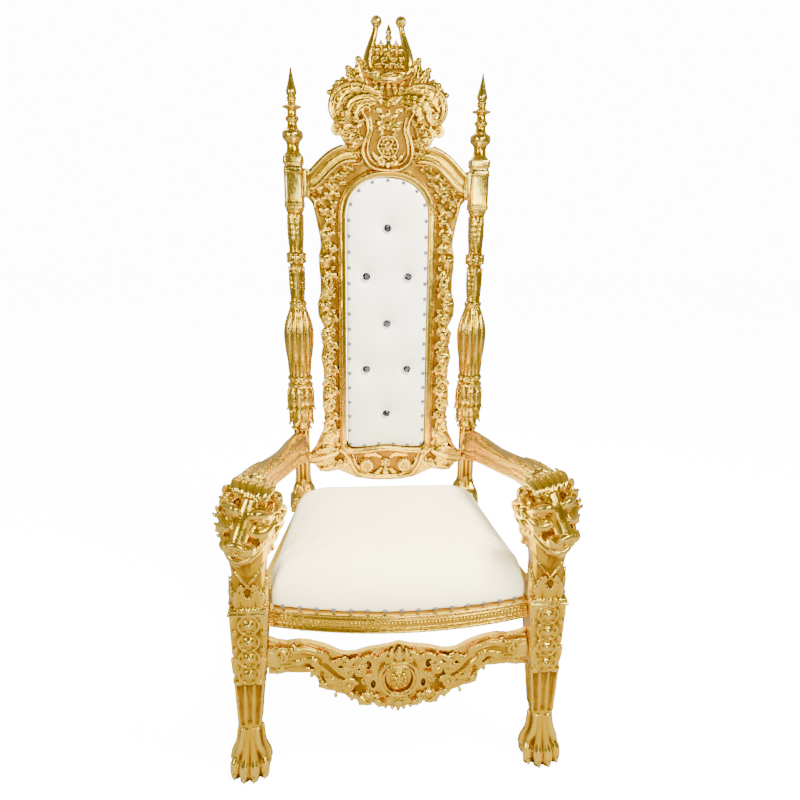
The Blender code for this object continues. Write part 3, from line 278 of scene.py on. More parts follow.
def spiral(centre: Flat, start: float, radii: Flat, turns: float,
           out: float) -> list[Spot]:
    """Points of a spiral in to its eye.

    Args:
        centre: Where the eye is, as (right, up).
        start: Angle in degrees at which it begins.
        radii: Its radius at the start and at the end.
        turns: Turns, anticlockwise if positive.
        out: Depth of the drawing.

    Returns:
        Points for a rod.
    """
    count = max(int(abs(turns) * 10), 5)
    points = []
    for step in range(count + 1):
        share = step / count
        angle = math.radians(start) + turns * 2 * math.pi * share
        radius = radii[0] + (radii[1] - radii[0]) * share ** 0.8
        points.append((centre[0] + radius * math.cos(angle), centre[1] + radius * math.sin(angle), out))
    return points


def around(count: int, offset: float = 0.0) -> list[Flat]:
    """Cosine and sine of directions evenly round a circle."""
    ways = (2 * math.pi * (index + offset) / count for index in range(count))
    return [(math.cos(way), math.sin(way)) for way in ways]


def spread_sizes(sizes: float | Sequence[float], count: int) -> np.ndarray:
    """One size for each of count places, spread evenly between the given ones."""
    values = np.atleast_1d(np.asarray(sizes, float))
    return np.interp(np.linspace(0, 1, count), np.linspace(0, 1, len(values)), values)


def unit(rows: np.ndarray) -> np.ndarray:
    """Rows scaled to length one."""
    return rows / np.maximum(np.linalg.norm(rows, axis=1, keepdims=True), 1e-9)


# The carver's strokes

@dataclass(frozen=True)
class Cut:
    """Takes away what lies past a limit along one axis of the throne.

    The limit follows the height, or x where the axis is the height, so that a joint can be scribed.
    """

    axis: int
    sign: int
    limit: Callable[[float], float]

    def make(self, shape: bmesh.types.BMesh) -> None:
        """Cuts a shape and closes it."""
        other = 0 if self.axis == 2 else 2
        for vertex in shape.verts:
            vertex.co[self.axis] -= self.limit(vertex.co[other])
        normal = [0.0, 0.0, 0.0]
        normal[self.axis] = float(self.sign)
        everything = shape.verts[:] + shape.edges[:] + shape.faces[:]
        cut = bmesh.ops.bisect_plane(shape, geom=everything, plane_co=(0, 0, 0), plane_no=normal,
                                     clear_outer=True)["geom_cut"]
        rim = [part for part in cut if isinstance(part, bmesh.types.BMEdge) and part.is_boundary]
        bmesh.ops.triangle_fill(shape, edges=rim, normal=normal)
        bmesh.ops.holes_fill(shape, edges=[edge for edge in rim if edge.is_boundary], sides=0)
        for vertex in shape.verts:
            vertex.co[self.axis] += self.limit(vertex.co[other])


class Carving:
    """Closed shapes that overlap, drawn in millimetres and fused into one skin at the end."""

    def __init__(self, *places: Matrix) -> None:
        """Starts an empty carving.

        Args:
            places: Matrices from the drawing to the throne; each shape is made once for each of them.
        """
        self.shape = bmesh.new()
        self.places = list(places)

    def within(self, *places: Matrix) -> "Carving":
        """A drawing on other sheets that adds to this same carving."""
        other = Carving.__new__(Carving)
        other.shape = self.shape
        other.places = list(places)
        return other

    def turned_sheet(self, angle: float) -> "Carving":
        """This drawing's sheet turned round its upright axis by so many degrees."""
        return self.within(self.places[0] @ Matrix.Rotation(math.radians(angle), 4, "Y"))

    def stamp(self, blank: Mesh, points: np.ndarray) -> None:
        """Adds a copy of a blank whose points go to the given places in the drawing."""
        rows = np.c_[points, np.ones(len(points))]
        for place in self.places:
            copy = blank.copy()
            copy.vertices.foreach_set("co", (rows @ np.array(place).T)[:, :3].astype(np.float32).ravel())
            if place.determinant() < 0:
                copy.flip_normals()
            self.shape.from_mesh(copy)
            bpy.data.meshes.remove(copy)

    def ball(self, at: Point, radii: Point, turn: float = 0.0, dish: float = 0.0, detail: int = 2) -> None:
        """A boss, or a dished petal.

        Args:
            at: Its centre.
            radii: Half sizes to the right, up and out.
            turn: Degrees that it is turned on the sheet.
            dish: How far its face is hollowed, as a share of its depth.
            detail: Fineness of the ball.
        """
        mesh, rows = ball_blank(detail)
        rows = rows.copy()
        front = rows[:, 2] > 0
        rows[front, 2] -= dish * (1 - rows[front, 0] ** 2 - rows[front, 1] ** 2)
        rows *= radii
        angle = math.radians(turn)
        turned = np.c_[rows[:, 0] * math.cos(angle) - rows[:, 1] * math.sin(angle),
                       rows[:, 0] * math.sin(angle) + rows[:, 1] * math.cos(angle), rows[:, 2]]
        self.stamp(mesh, turned + np.asarray(at, float))

    def rod(self, points: Sequence[Point], radii: float | Sequence[float], flat: float = 1.0, sides: int = 8,
            groove: float = 0.0, facing: Point = OUTWARD, steps: int = 0) -> None:
        """A tapering rod along a smooth path.

        Args:
            points: Points that its line passes through.
            radii: Its radius, or radii spread evenly along it.
            flat: Its thickness outwards as a share of its width.
            sides: Sides of its section.
            groove: Depth of a gouged groove down its face, as a share of its thickness.
            facing: Direction that its face looks in.
            steps: Rings along it, or 0 to suit its length.
        """
        count = steps or max(4, 3 * len(points))
        path = spline(points, count)
        size = spread_sizes(radii, count)
        mesh, rows = rod_blank(sides, count)
        ring = np.rint(rows[:, 2]).astype(int)
        along = unit(np.gradient(path, axis=0))
        across = np.cross(along, np.asarray(facing, float))
        weak = np.linalg.norm(across, axis=1) < 1e-3
        across[weak] = np.cross(along[weak], (0.31, 0.83, 0.46))
        across = unit(across)
        face = unit(np.cross(across, along))
        lift = rows[:, 1] * flat
        lift = lift * (1 - groove * np.exp(-(rows[:, 0] / 0.38) ** 2) * (rows[:, 1] > 0))
        spots = path[ring] + size[ring, None] * (across[ring] * rows[:, :1] + face[ring] * lift[:, None])
        self.stamp(mesh, spots)

    def leaf(self, points: Sequence[Point], width: float, lobes: int = 4, curl: float = 5.0,
             thick: float = 0.36, cup: float = -0.25, facing: Point = OUTWARD) -> None:
        """A lobed acanthus leaf along a path.

        Args:
            points: Points from its root to its tip.
            width: Half width at its broadest.
            lobes: Lobes down each edge.
            curl: How far its tip turns outwards, in millimetres.
            thick: Thickness as a share of its width.
            cup: How far its edges stand forward, as a share of its width; negative falls back.
            facing: Direction that its face looks in.
        """
        count = 5 * lobes + 2
        sides = 14
        path = spline(points, count)
        share = np.linspace(0, 1, count)
        face_way = np.asarray(facing, float)
        path = path + np.outer(curl * share ** 3, face_way)
        wave = np.abs(np.sin(math.pi * lobes * share)) ** 0.55
        envelope = np.interp(share, (0, 0.15, 0.45, 0.8, 1), (0.38, 0.78, 1.0, 0.72, 0.07))
        half = width * envelope * (0.66 + 0.34 * wave)
        body = width * thick * np.interp(share, (0, 0.5, 1), (1.0, 0.9, 0.35)) * (0.62 + 0.38 * wave)
        mesh, rows = rod_blank(sides, count)
        ring = np.rint(rows[:, 2]).astype(int)
        along = unit(np.gradient(path, axis=0))
        across = unit(np.cross(along, face_way))
        face = unit(np.cross(across, along))
        edge = rows[:, 0] ** 2
        lift = rows[:, 1] * (1 - 0.62 * np.exp(-(rows[:, 0] / 0.26) ** 2) * (rows[:, 1] > 0))
        spots = path[ring] + across[ring] * (half[ring] * rows[:, 0])[:, None]
        spots = spots + face[ring] * (body[ring] * lift + cup * half[ring] * edge)[:, None]
        spots = spots + along[ring] * (0.42 * half[ring] * edge * (1 - share[ring] ** 2))[:, None]
        self.stamp(mesh, spots)

    def rose(self, at: Point, radius: float, petals: int = 5, turn: float = 90.0) -> None:
        """A rose with two rings of dished petals round a bud."""
        x, up, out = at
        for ring, (reach, size, lift) in enumerate(((0.60, 0.44, 0.0), (0.30, 0.30, 0.22))):
            for petal in range(petals):
                angle = turn + 360 * (petal + 0.5 * ring) / petals
                way = math.radians(angle)
                centre = (x + reach * radius * math.cos(way), up + reach * radius * math.sin(way),
                          out + lift * radius)
                self.ball(centre, (size * radius, size * radius * 1.05, 0.30 * radius), angle - 90, dish=0.55)
        self.ball((x, up, out + 0.34 * radius), (0.20 * radius, 0.20 * radius, 0.26 * radius))

    def roses(self, rows: Sequence[Spot], out: float) -> None:
        """Roses of five petals; each row is right, up and radius."""
        for x, up, radius in rows:
            self.rose((x, up, out), radius)

    def sprays(self, rows: Sequence[tuple], outs: Spot, lobes: int, curl: float = 5.0,
               thick: float = 0.36) -> None:
        """Leaves in a row of kinds.

        Args:
            rows: Root, bend and tip of each leaf as (right, up), then its half width.
            outs: Depths of the root, the bend and the tip.
            lobes: Lobes down each edge.
            curl: How far the tips turn outwards.
            thick: Thickness as a share of the width.
        """
        for root, bend, tip, width in rows:
            self.leaf([(*root, outs[0]), (*bend, outs[1]), (*tip, outs[2])], width, lobes, curl, thick)

    def medallion(self, at: Point, radius: float, petals: int = 6) -> None:
        """An open flower inside a ring of small scallops."""
        x, up, out = at
        for petal in range(petals):
            way = 2 * math.pi * petal / petals
            reach = 0.46 * radius
            self.ball((x + reach * math.sin(way), up + reach * math.cos(way), out + 0.10 * radius),
                      (0.20 * radius, 0.30 * radius, 0.22 * radius), -math.degrees(way), dish=0.3)
        self.ball((x, up, out + 0.18 * radius), (0.20 * radius, 0.20 * radius, 0.22 * radius))
        scallops = 2 * petals
        for index in range(scallops):
            way = 2 * math.pi * (index + 0.5) / scallops
            self.ball((x + 0.90 * radius * math.sin(way), up + 0.90 * radius * math.cos(way),
                       out - 0.02 * radius), (0.20 * radius, 0.20 * radius, 0.16 * radius))

    def scroll(self, centre: Flat, radius: float, start: float, turns: float, width: float,
               out: float, flat: float = 0.9) -> None:
        """A gouged volute that winds in to a raised eye.

        Args:
            centre: Its eye, as (right, up).
            radius: Radius at its start.
            start: Angle in degrees at its start.
            turns: Turns, anticlockwise if positive.
            width: Half width of the stem.
            out: Depth of the stem's line.
            flat: Thickness outwards as a share of its width.
        """
        path = spiral(centre, start, (radius, 0.30 * radius), turns, out)
        self.rod(path, (width, width * 0.9, width * 0.6), flat, sides=10, groove=0.35, steps=len(path) * 2)
        self.ball((*centre, out + 0.15 * width), (width * 0.85, width * 0.85, width * 0.95))

    def beads(self, points: Sequence[Point], radius: float, count: int) -> None:
        """A row of beads along a smooth path."""
        for spot in spline(points, count):
            self.ball(spot, (radius, radius, radius), detail=1)

    def shell(self, at: Point, radius: float, ribs: int, turn: float, spread: float = 130.0) -> None:
        """A fan of round-ended ribs that spread from a hinge."""
        x, up, out = at
        for rib in range(ribs):
            way = math.radians(turn + spread * (rib / (ribs - 1) - 0.5))
            dx, dz = math.cos(way), math.sin(way)
            wide = radius * math.radians(spread) / (2 * ribs) * 1.05
            self.rod([(x + 0.12 * radius * dx, up + 0.12 * radius * dz, out),
                      (x + 0.55 * radius * dx, up + 0.55 * radius * dz, out + 3),
                      (x + radius * dx, up + radius * dz, out + 2)], (wide * 0.35, wide * 0.8, wide * 1.05),
                     0.8)
        self.ball((x, up, out + 3), (0.20 * radius, 0.20 * radius, 0.18 * radius))

    def plate(self, outline: Sequence[Flat], rear: float, front: float,
              holes: Sequence[Sequence[Flat]] = ()) -> None:
        """A flat board with pierced holes, between two depths.

        Args:
            outline: Its (right, up) outline.
            rear: Depth of its rear.
            front: Depth of its face.
            holes: Outlines of its holes.
        """
        board = bmesh.new()
        for loop in (outline, *holes):
            corners = [board.verts.new((x, up, rear)) for x, up in loop]
            for start, end in zip(corners, corners[1:] + corners[:1]):
                board.edges.new((start, end))
        bmesh.ops.triangle_fill(board, edges=board.edges, use_beauty=True)
        grown = bmesh.ops.extrude_face_region(board, geom=board.faces[:])["geom"]
        rim = [part for part in grown if isinstance(part, bmesh.types.BMVert)]
        bmesh.ops.translate(board, vec=(0, 0, front - rear), verts=rim)
        bmesh.ops.recalc_face_normals(board, faces=board.faces)
        self.stamp_once(board)

    def turned(self, rows: Sequence[Flat], form: "Form", reeds: int = 10, sides: int = 40) -> None:
        """A turned or squared body round the drawing's upright axis.

        Args:
            rows: Pairs of height and radius.
            form: Whether its section is round, square or reeded.
            reeds: Count of reeds.
            sides: Points round each ring.
        """
        rings = []
        for up, radius in rows:
            ring = []
            for index in range(sides):
                way = 2 * math.pi * index / sides
                c, s = math.cos(way), math.sin(way)
                reach = radius
                if form is Form.SQUARE:
                    reach = min(radius / max(abs(c), abs(s)), 1.27 * radius)
                elif form is Form.REEDED:
                    reach = radius * (0.84 + 0.16 * abs(math.cos(reeds * way / 2)) ** 0.8)
                ring.append((reach * c, up, -reach * s))
            rings.append(ring)
        self.loft(np.array(rings))

    def block(self, low: Point, high: Point, bevel: float = 2.0) -> None:
        """A box from corner to corner with rounded edges."""
        box = bmesh.new()
        bmesh.ops.create_cube(box, size=1.0)
        middle = (np.asarray(low, float) + np.asarray(high, float)) / 2
        size = np.asarray(high, float) - np.asarray(low, float)
        bmesh.ops.scale(box, vec=Vector(size), verts=box.verts)
        bmesh.ops.translate(box, vec=Vector(middle), verts=box.verts)
        bmesh.ops.bevel(box, geom=box.edges[:], offset=bevel, segments=2, profile=0.5, affect="EDGES",
                        material=-1)
        self.stamp_once(box)

    def loft(self, rings: np.ndarray) -> None:
        """A closed body through rings that all have the same count of points.

        Args:
            rings: Array of rings, points and (right, up, out).
        """
        count, sides, _ = rings.shape
        mesh, rows = rod_blank(sides, count)
        ring = np.rint(rows[:, 2]).astype(int)
        side = np.rint(np.arctan2(rows[:, 1], rows[:, 0]) / (2 * math.pi) * sides).astype(int) % sides
        self.stamp(mesh, rings[ring, side])

    def stamp_once(self, shape: bmesh.types.BMesh) -> None:
        """Adds a bmesh drawn in millimetres, and frees it."""
        mesh = as_mesh(shape, "stroke")
        self.stamp(mesh, points_of(mesh))
        bpy.data.meshes.remove(mesh)

    def fused(self, name: str, voxel: float, budget: int, cuts: Sequence[Cut] = ()) -> Object:
        """Fuses the carving into one skin.

        Args:
            name: Name of the piece.
            voxel: Fineness of the skin in metres.
            budget: Most triangles that the piece may have.
            cuts: Cuts made at the end.

        Returns:
            The piece, at the origin, with its hollows marked.
        """
        item = placed(name, as_mesh(self.shape, name))
        remeshed(item, voxel, 2)
        count = 2 * len(evaluated(item).polygons)
        thin = item.modifiers.new("Thin", "DECIMATE")
        thin.ratio = min(1.0, budget / max(count, 1))
        item.data = one_body(evaluated(item), cuts)
        item.modifiers.clear()
        item.data.name = name
        mark_hollows(item.data)
        item.data.shade_smooth()
        return item


def evaluated(item: Object) -> Mesh:
    """The object's mesh after its modifiers."""
    graph = bpy.context.evaluated_depsgraph_get()
    return bpy.data.meshes.new_from_object(item.evaluated_get(graph))


def remeshed(item: Object, voxel: float, rounds: int) -> None:
    """Gives an object an even skin of voxels, eased so many times."""
    skin = item.modifiers.new("Fuse", "REMESH")
    skin.mode = "VOXEL"
    skin.voxel_size = voxel
    ease = item.modifiers.new("Ease", "SMOOTH")
    ease.factor = 0.5
    ease.iterations = rounds


def one_body(mesh: Mesh, cuts: Sequence[Cut] = ()) -> Mesh:
    """The mesh with its cuts made and without loose crumbs."""
    shape = bmesh.new()
    shape.from_mesh(mesh)
    for cut in cuts:
        cut.make(shape)
    unseen = set(shape.verts)
    bodies = []
    while unseen:
        body = [unseen.pop()]
        for vertex in body:
            for edge in vertex.link_edges:
                other = edge.other_vert(vertex)
                if other in unseen:
                    unseen.remove(other)
                    body.append(other)
        bodies.append(body)
    bodies.sort(key=len, reverse=True)
    crumbs = [vertex for body in bodies[1:] for vertex in body]
    bmesh.ops.delete(shape, geom=crumbs, context="VERTS")
    bmesh.ops.triangulate(shape, faces=shape.faces)
    shape.to_mesh(mesh)
    shape.free()
    return mesh


def mark_hollows(mesh: Mesh, rounds: int = 26, depth: float = 0.0026) -> None:
    """Stores how deep in the carving each point lies, as the attribute hollow, which places the gold's
    painted shade and painted highlights.

    Args:
        mesh: The finished mesh.
        rounds: How far around a point its neighbours count.
        depth: Depth in metres that counts as a full hollow.
    """
    points = points_of(mesh)
    count = len(points)
    pairs = np.empty(len(mesh.edges) * 2, np.int32)
    mesh.edges.foreach_get("vertices", pairs)
    start, end = pairs.reshape(-1, 2).T
    ends = np.concatenate((end, start))
    starts = np.concatenate((start, end))
    share = 1.0 / np.maximum(np.bincount(ends, minlength=count), 1)
    smooth = points.copy()
    for _ in range(rounds):
        smooth = np.stack([np.bincount(ends, smooth[starts, axis], count) * share for axis in range(3)], 1)
    normals = np.empty(count * 3, np.float32)
    mesh.vertices.foreach_get("normal", normals)
    sunk = ((smooth - points) * normals.reshape(-1, 3)).sum(1)
    value = np.clip(0.5 + 0.5 * sunk / depth, 0, 1)
    layer = mesh.attributes.new("hollow", "FLOAT", "POINT")
    layer.data.foreach_set("value", value.astype(np.float32))


def other_hand(item: Object, name: str) -> Object:
    """A mirrored twin of a finished piece on the other side of the throne."""
    shape = bmesh.new()
    shape.from_mesh(item.data)
    bmesh.ops.scale(shape, vec=(-1, 1, 1), verts=shape.verts)
    bmesh.ops.reverse_faces(shape, faces=shape.faces)
    twin = placed(name, as_mesh(shape, name))
    twin.data.shade_smooth()
    return twin


def show(item: Object, slot: "Slot", finish: Material, *nodes: str) -> Object:
    """Hands a finished piece to the frame.

    Args:
        item: The piece.
        slot: The record's finish for the piece; not used.
        finish: Its material.
        nodes: Solids that it stands for.

    Returns:
        The same piece.
    """
    item.data.materials.clear()
    item.data.materials.append(finish)
    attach(item, "root")
    if nodes:
        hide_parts(*nodes)
    LOG.info("%s: %d faces", item.name, len(item.data.polygons))
    return item


def show_pair(right: Object, gold: Material, node: str) -> None:
    """Hands over a right piece and its mirrored left twin."""
    left = other_hand(right, f"{node}_left_carved")
    show(right, Slot.GOLD, gold, f"{node}_right")
    show(left, Slot.GOLD, gold, f"{node}_left")


class Form(Enum):
    """Sections of a turned body."""

    ROUND = "round"
    SQUARE = "square"
    REEDED = "reeded"


class Slot(Enum):
    """The record's material slots."""

    GOLD = "carved_gold"
    BACK = "back_leatherette"
    SEAT = "seat_leatherette"
    CRYSTAL = "crystal"
    NAIL = "nail_pewter"


# Finishes

class NodePlan:
    """A short way to place and wire nodes in one tree."""

    def __init__(self, tree: bpy.types.NodeTree) -> None:
        """Works on the given tree."""
        self.tree = tree

    def add(self, kind: str, **settings: object) -> bpy.types.Node:
        """A new node with its properties set."""
        node = self.tree.nodes.new(kind)
        for name, value in settings.items():
            setattr(node, name, value)
        return node

    def feed(self, node: bpy.types.Node, **values: object) -> bpy.types.Node:
        """Sets or links inputs by name, where an underscore stands for a space."""
        for name, value in values.items():
            self.put(node.inputs[name.replace("_", " ")], value)
        return node

    def put(self, socket: Socket, value: object) -> None:
        """Links another node's output to an input, or sets it to a plain value."""
        if isinstance(value, Socket):
            self.tree.links.new(value, socket)
        else:
            socket.default_value = value

    def noise(self, place: Socket, scale: float, detail: float = 2.0) -> Socket:
        """The height of a noise at a place."""
        node = self.add("ShaderNodeTexNoise")
        self.feed(node, Vector=place, Scale=scale, Detail=detail)
        return node.outputs["Fac"]

    def band(self, value: Socket, low: float, high: float, to_low: float = 0.0,
             to_high: float = 1.0) -> Socket:
        """A value eased from one range to another."""
        node = self.add("ShaderNodeMapRange", interpolation_type="SMOOTHSTEP")
        self.feed(node, Value=value, From_Min=low, From_Max=high, To_Min=to_low, To_Max=to_high)
        return node.outputs["Result"]

    def maths(self, operation: str, first: object, second: object) -> Socket:
        """Two values joined by arithmetic."""
        node = self.add("ShaderNodeMath", operation=operation)
        self.put(node.inputs[0], first)
        self.put(node.inputs[1], second)
        return node.outputs[0]

    def blend(self, share: Socket, first: object, second: object) -> Socket:
        """Two colours mixed by a share."""
        node = self.add("ShaderNodeMix", data_type="RGBA")
        self.put(node.inputs["Factor"], share)
        self.put(node.inputs[6], first)
        self.put(node.inputs[7], second)
        return node.outputs[2]

    def coat(self, shader: bpy.types.Node, group: bpy.types.Node, colour: str, depth: float) -> None:
        """Gives a shader a group's colour, roughness and bumps of so many metres."""
        bump = self.add("ShaderNodeBump")
        self.feed(bump, Strength=1.0, Distance=depth, Height=group.outputs["Height"])
        self.feed(shader, Base_Color=group.outputs[colour], Roughness=group.outputs["Roughness"],
                  Normal=bump.outputs["Normal"])


def new_group(name: str, inputs: dict[str, object], outputs: Sequence[str]) -> bpy.types.NodeTree:
    """An empty shader group.

    Args:
        name: Name of the group.
        inputs: Input names with their defaults; a tuple of four is a colour and None is a place.
        outputs: Output names; those that end in Colour are colours.

    Returns:
        The group, with its two end nodes.
    """
    group = bpy.data.node_groups.new(name, "ShaderNodeTree")
    for key, value in inputs.items():
        kind = "NodeSocketFloat"
        if value is None:
            kind = "NodeSocketVector"
        elif isinstance(value, tuple):
            kind = "NodeSocketColor"
        socket = group.interface.new_socket(key, in_out="INPUT", socket_type=kind)
        if value is not None:
            socket.default_value = value
    for key in outputs:
        kind = "NodeSocketColor" if key.endswith("Colour") else "NodeSocketFloat"
        group.interface.new_socket(key, in_out="OUTPUT", socket_type=kind)
    group.nodes.new("NodeGroupInput")
    group.nodes.new("NodeGroupOutput")
    return group


@lru_cache(maxsize=None)
def gilding_group() -> bpy.types.NodeTree:
    """Gold leaf with brown painted shade in its hollows, a painted highlight on its ridges, and a face that
    ripples.
    """
    group = new_group("gilding", {"Place": None, "Hollow": 0.5, "Bright Colour": (1, 0.85, 0.5, 1),
                                  "Leaf Colour": (0.95, 0.7, 0.25, 1), "Glaze Colour": (0.5, 0.25, 0.05, 1),
                                  "Gloss": 0.2}, ("Gold Colour", "Roughness", "Height"))
    plan = NodePlan(group)
    give, take = group.nodes["Group Input"].outputs, group.nodes["Group Output"]
    patch = plan.noise(give["Place"], 14.0, 4.0)
    ripple = plan.noise(give["Place"], 95.0, 3.0)
    speck = plan.noise(give["Place"], 620.0, 2.0)
    sunk = plan.maths("ADD", give["Hollow"], plan.maths("MULTIPLY", plan.maths("SUBTRACT", patch, 0.5), 0.35))
    # Painted shade: the deeper a point lies in the carving, the more it takes the dark brown shade colour.
    painted_shade = plan.band(sunk, 0.52, 0.92)
    # Painted highlight: the ridges, which stand proud of the carving, take the pale highlight colour.
    painted_highlight_mask = plan.band(sunk, 0.46, 0.08)
    tone = plan.blend(painted_highlight_mask, give["Leaf Colour"], give["Bright Colour"])
    tone = plan.blend(painted_shade, tone, give["Glaze Colour"])
    rough = plan.maths("ADD", give["Gloss"], plan.maths("MULTIPLY", painted_shade, 0.22))
    rough = plan.maths("ADD", rough, plan.maths("MULTIPLY", speck, 0.10))
    height = plan.maths("ADD", plan.maths("MULTIPLY", ripple, 0.7), plan.maths("MULTIPLY", speck, 0.18))
    for key, value in (("Gold Colour", tone), ("Roughness", rough), ("Height", height)):
        group.links.new(value, take.inputs[key])
    return group


@lru_cache(maxsize=None)
def grain_group() -> bpy.types.NodeTree:
    """Leatherette: a fine pebble grain, soft creases and a faint drift of tone."""
    group = new_group("leather_grain", {"Place": None, "Face Colour": (0.85, 0.85, 0.85, 1),
                                        "Shade Colour": (0.7, 0.68, 0.62, 1), "Gloss": 0.4},
                      ("Hide Colour", "Roughness", "Height"))
    plan = NodePlan(group)
    give, take = group.nodes["Group Input"].outputs, group.nodes["Group Output"]
    cells = plan.add("ShaderNodeTexVoronoi", feature="F1")
    plan.feed(cells, Vector=give["Place"], Scale=900.0)
    drift = plan.noise(give["Place"], 7.0, 3.0)
    crease = plan.noise(give["Place"], 60.0, 3.0)
    tone = plan.blend(plan.band(drift, 0.35, 0.8), give["Face Colour"], give["Shade Colour"])
    rough = plan.maths("ADD", give["Gloss"], plan.maths("MULTIPLY", crease, 0.12))
    height = plan.maths("ADD", plan.maths("MULTIPLY", cells.outputs["Distance"], 0.5),
                        plan.maths("MULTIPLY", crease, 0.8))
    for key, value in (("Hide Colour", tone), ("Roughness", rough), ("Height", height)):
        group.links.new(value, take.inputs[key])
    return group


def new_finish(name: str) -> tuple[Material, NodePlan, bpy.types.Node]:
    """A material with its plan and its shader node."""
    made = bpy.data.materials.new(name)
    made.use_nodes = True
    return made, NodePlan(made.node_tree), made.node_tree.nodes["Principled BSDF"]


@dataclass(frozen=True)
class Gilding:
    """Burnished gold leaf on carving, with a painted highlight on its ridges and painted shade in its
    hollows; its colours are linear.
    """

    name: str = "carved_gold"
    # The pale painted highlight colour, laid on the ridges.
    painted_highlight: Colour = (1.0, 0.71, 0.09, 1.0)
    leaf: Colour = (0.90, 0.545, 0.012, 1.0)
    # The dark brown painted shade colour, laid into the hollows.
    painted_shade: Colour = (0.34, 0.165, 0.010, 1.0)
    gloss: float = 0.17
    hollow: float | None = None
    bump: float = 0.0007

    def make(self) -> Material:
        """The material; a hollow of None reads the piece's own marks."""
        made, plan, shader = new_finish(self.name)
        place = plan.add("ShaderNodeTexCoord").outputs["Object"]
        group = plan.add("ShaderNodeGroup", node_tree=gilding_group())
        depth = self.hollow
        if depth is None:
            depth = plan.add("ShaderNodeAttribute", attribute_name="hollow").outputs["Fac"]
        plan.feed(group, Place=place, Hollow=depth, Bright_Colour=self.painted_highlight, Leaf_Colour=self.leaf,
                  Glaze_Colour=self.painted_shade, Gloss=self.gloss)
        plan.coat(shader, group, "Gold Colour", self.bump)
        plan.feed(shader, Metallic=1.0)
        return made


@dataclass(frozen=True)
class Leatherette:
    """Smooth coated fabric over foam; its colours are linear."""

    name: str
    face: Colour
    shade: Colour
    gloss: float = 0.36
    bump: float = 0.00022

    def make(self) -> Material:
        """The material."""
        made, plan, shader = new_finish(self.name)
        place = plan.add("ShaderNodeTexCoord").outputs["Object"]
        group = plan.add("ShaderNodeGroup", node_tree=grain_group())
        plan.feed(group, Place=place, Face_Colour=self.face, Shade_Colour=self.shade, Gloss=self.gloss)
        plan.coat(shader, group, "Hide Colour", self.bump)
        plan.feed(shader, Specular_IOR_Level=0.45, Sheen_Weight=0.08)
        return made


@dataclass(frozen=True)
class Plated:
    """Plain bright or dull metal."""

    name: str
    colour: Colour
    dark: Colour
    roughness: float
    metallic: float = 1.0

    def make(self) -> Material:
        """The material, with a drift of tone and of roughness."""
        made, plan, shader = new_finish(self.name)
        place = plan.add("ShaderNodeTexCoord").outputs["Object"]
        drift = plan.noise(place, 240.0, 3.0)
        tone = plan.blend(plan.band(drift, 0.35, 0.75), self.colour, self.dark)
        rough = plan.maths("ADD", self.roughness, plan.maths("MULTIPLY", drift, 0.08))
        plan.feed(shader, Base_Color=tone, Roughness=rough, Metallic=self.metallic)
        return made


@dataclass(frozen=True)
class Crystal:
    """Clear cut crystal."""

    name: str = "crystal_stone"
    tint: Colour = (0.95, 0.96, 0.98, 1.0)

    def make(self) -> Material:
        """The material, see-through by plain values."""
        made, plan, shader = new_finish(self.name)
        plan.feed(shader, Base_Color=self.tint, Roughness=0.03, Transmission_Weight=1.0, IOR=1.56)
        return made


WHITE_HIDE = Leatherette("back_leatherette", face=(0.74, 0.69, 0.54, 1.0), shade=(0.67, 0.61, 0.46, 1.0))
CREAM_HIDE = Leatherette("seat_leatherette", face=(0.93, 0.80, 0.45, 1.0), shade=(0.88, 0.74, 0.39, 1.0))
SILVER = Plated("crystal_cup", colour=(0.90, 0.90, 0.90, 1.0), dark=(0.68, 0.68, 0.68, 1.0), roughness=0.14,
                metallic=0.20)
PEWTER = Plated("nail_pewter", colour=(0.19, 0.19, 0.17, 1.0), dark=(0.12, 0.12, 0.11, 1.0), roughness=0.24,
                metallic=0.6)


# Front legs

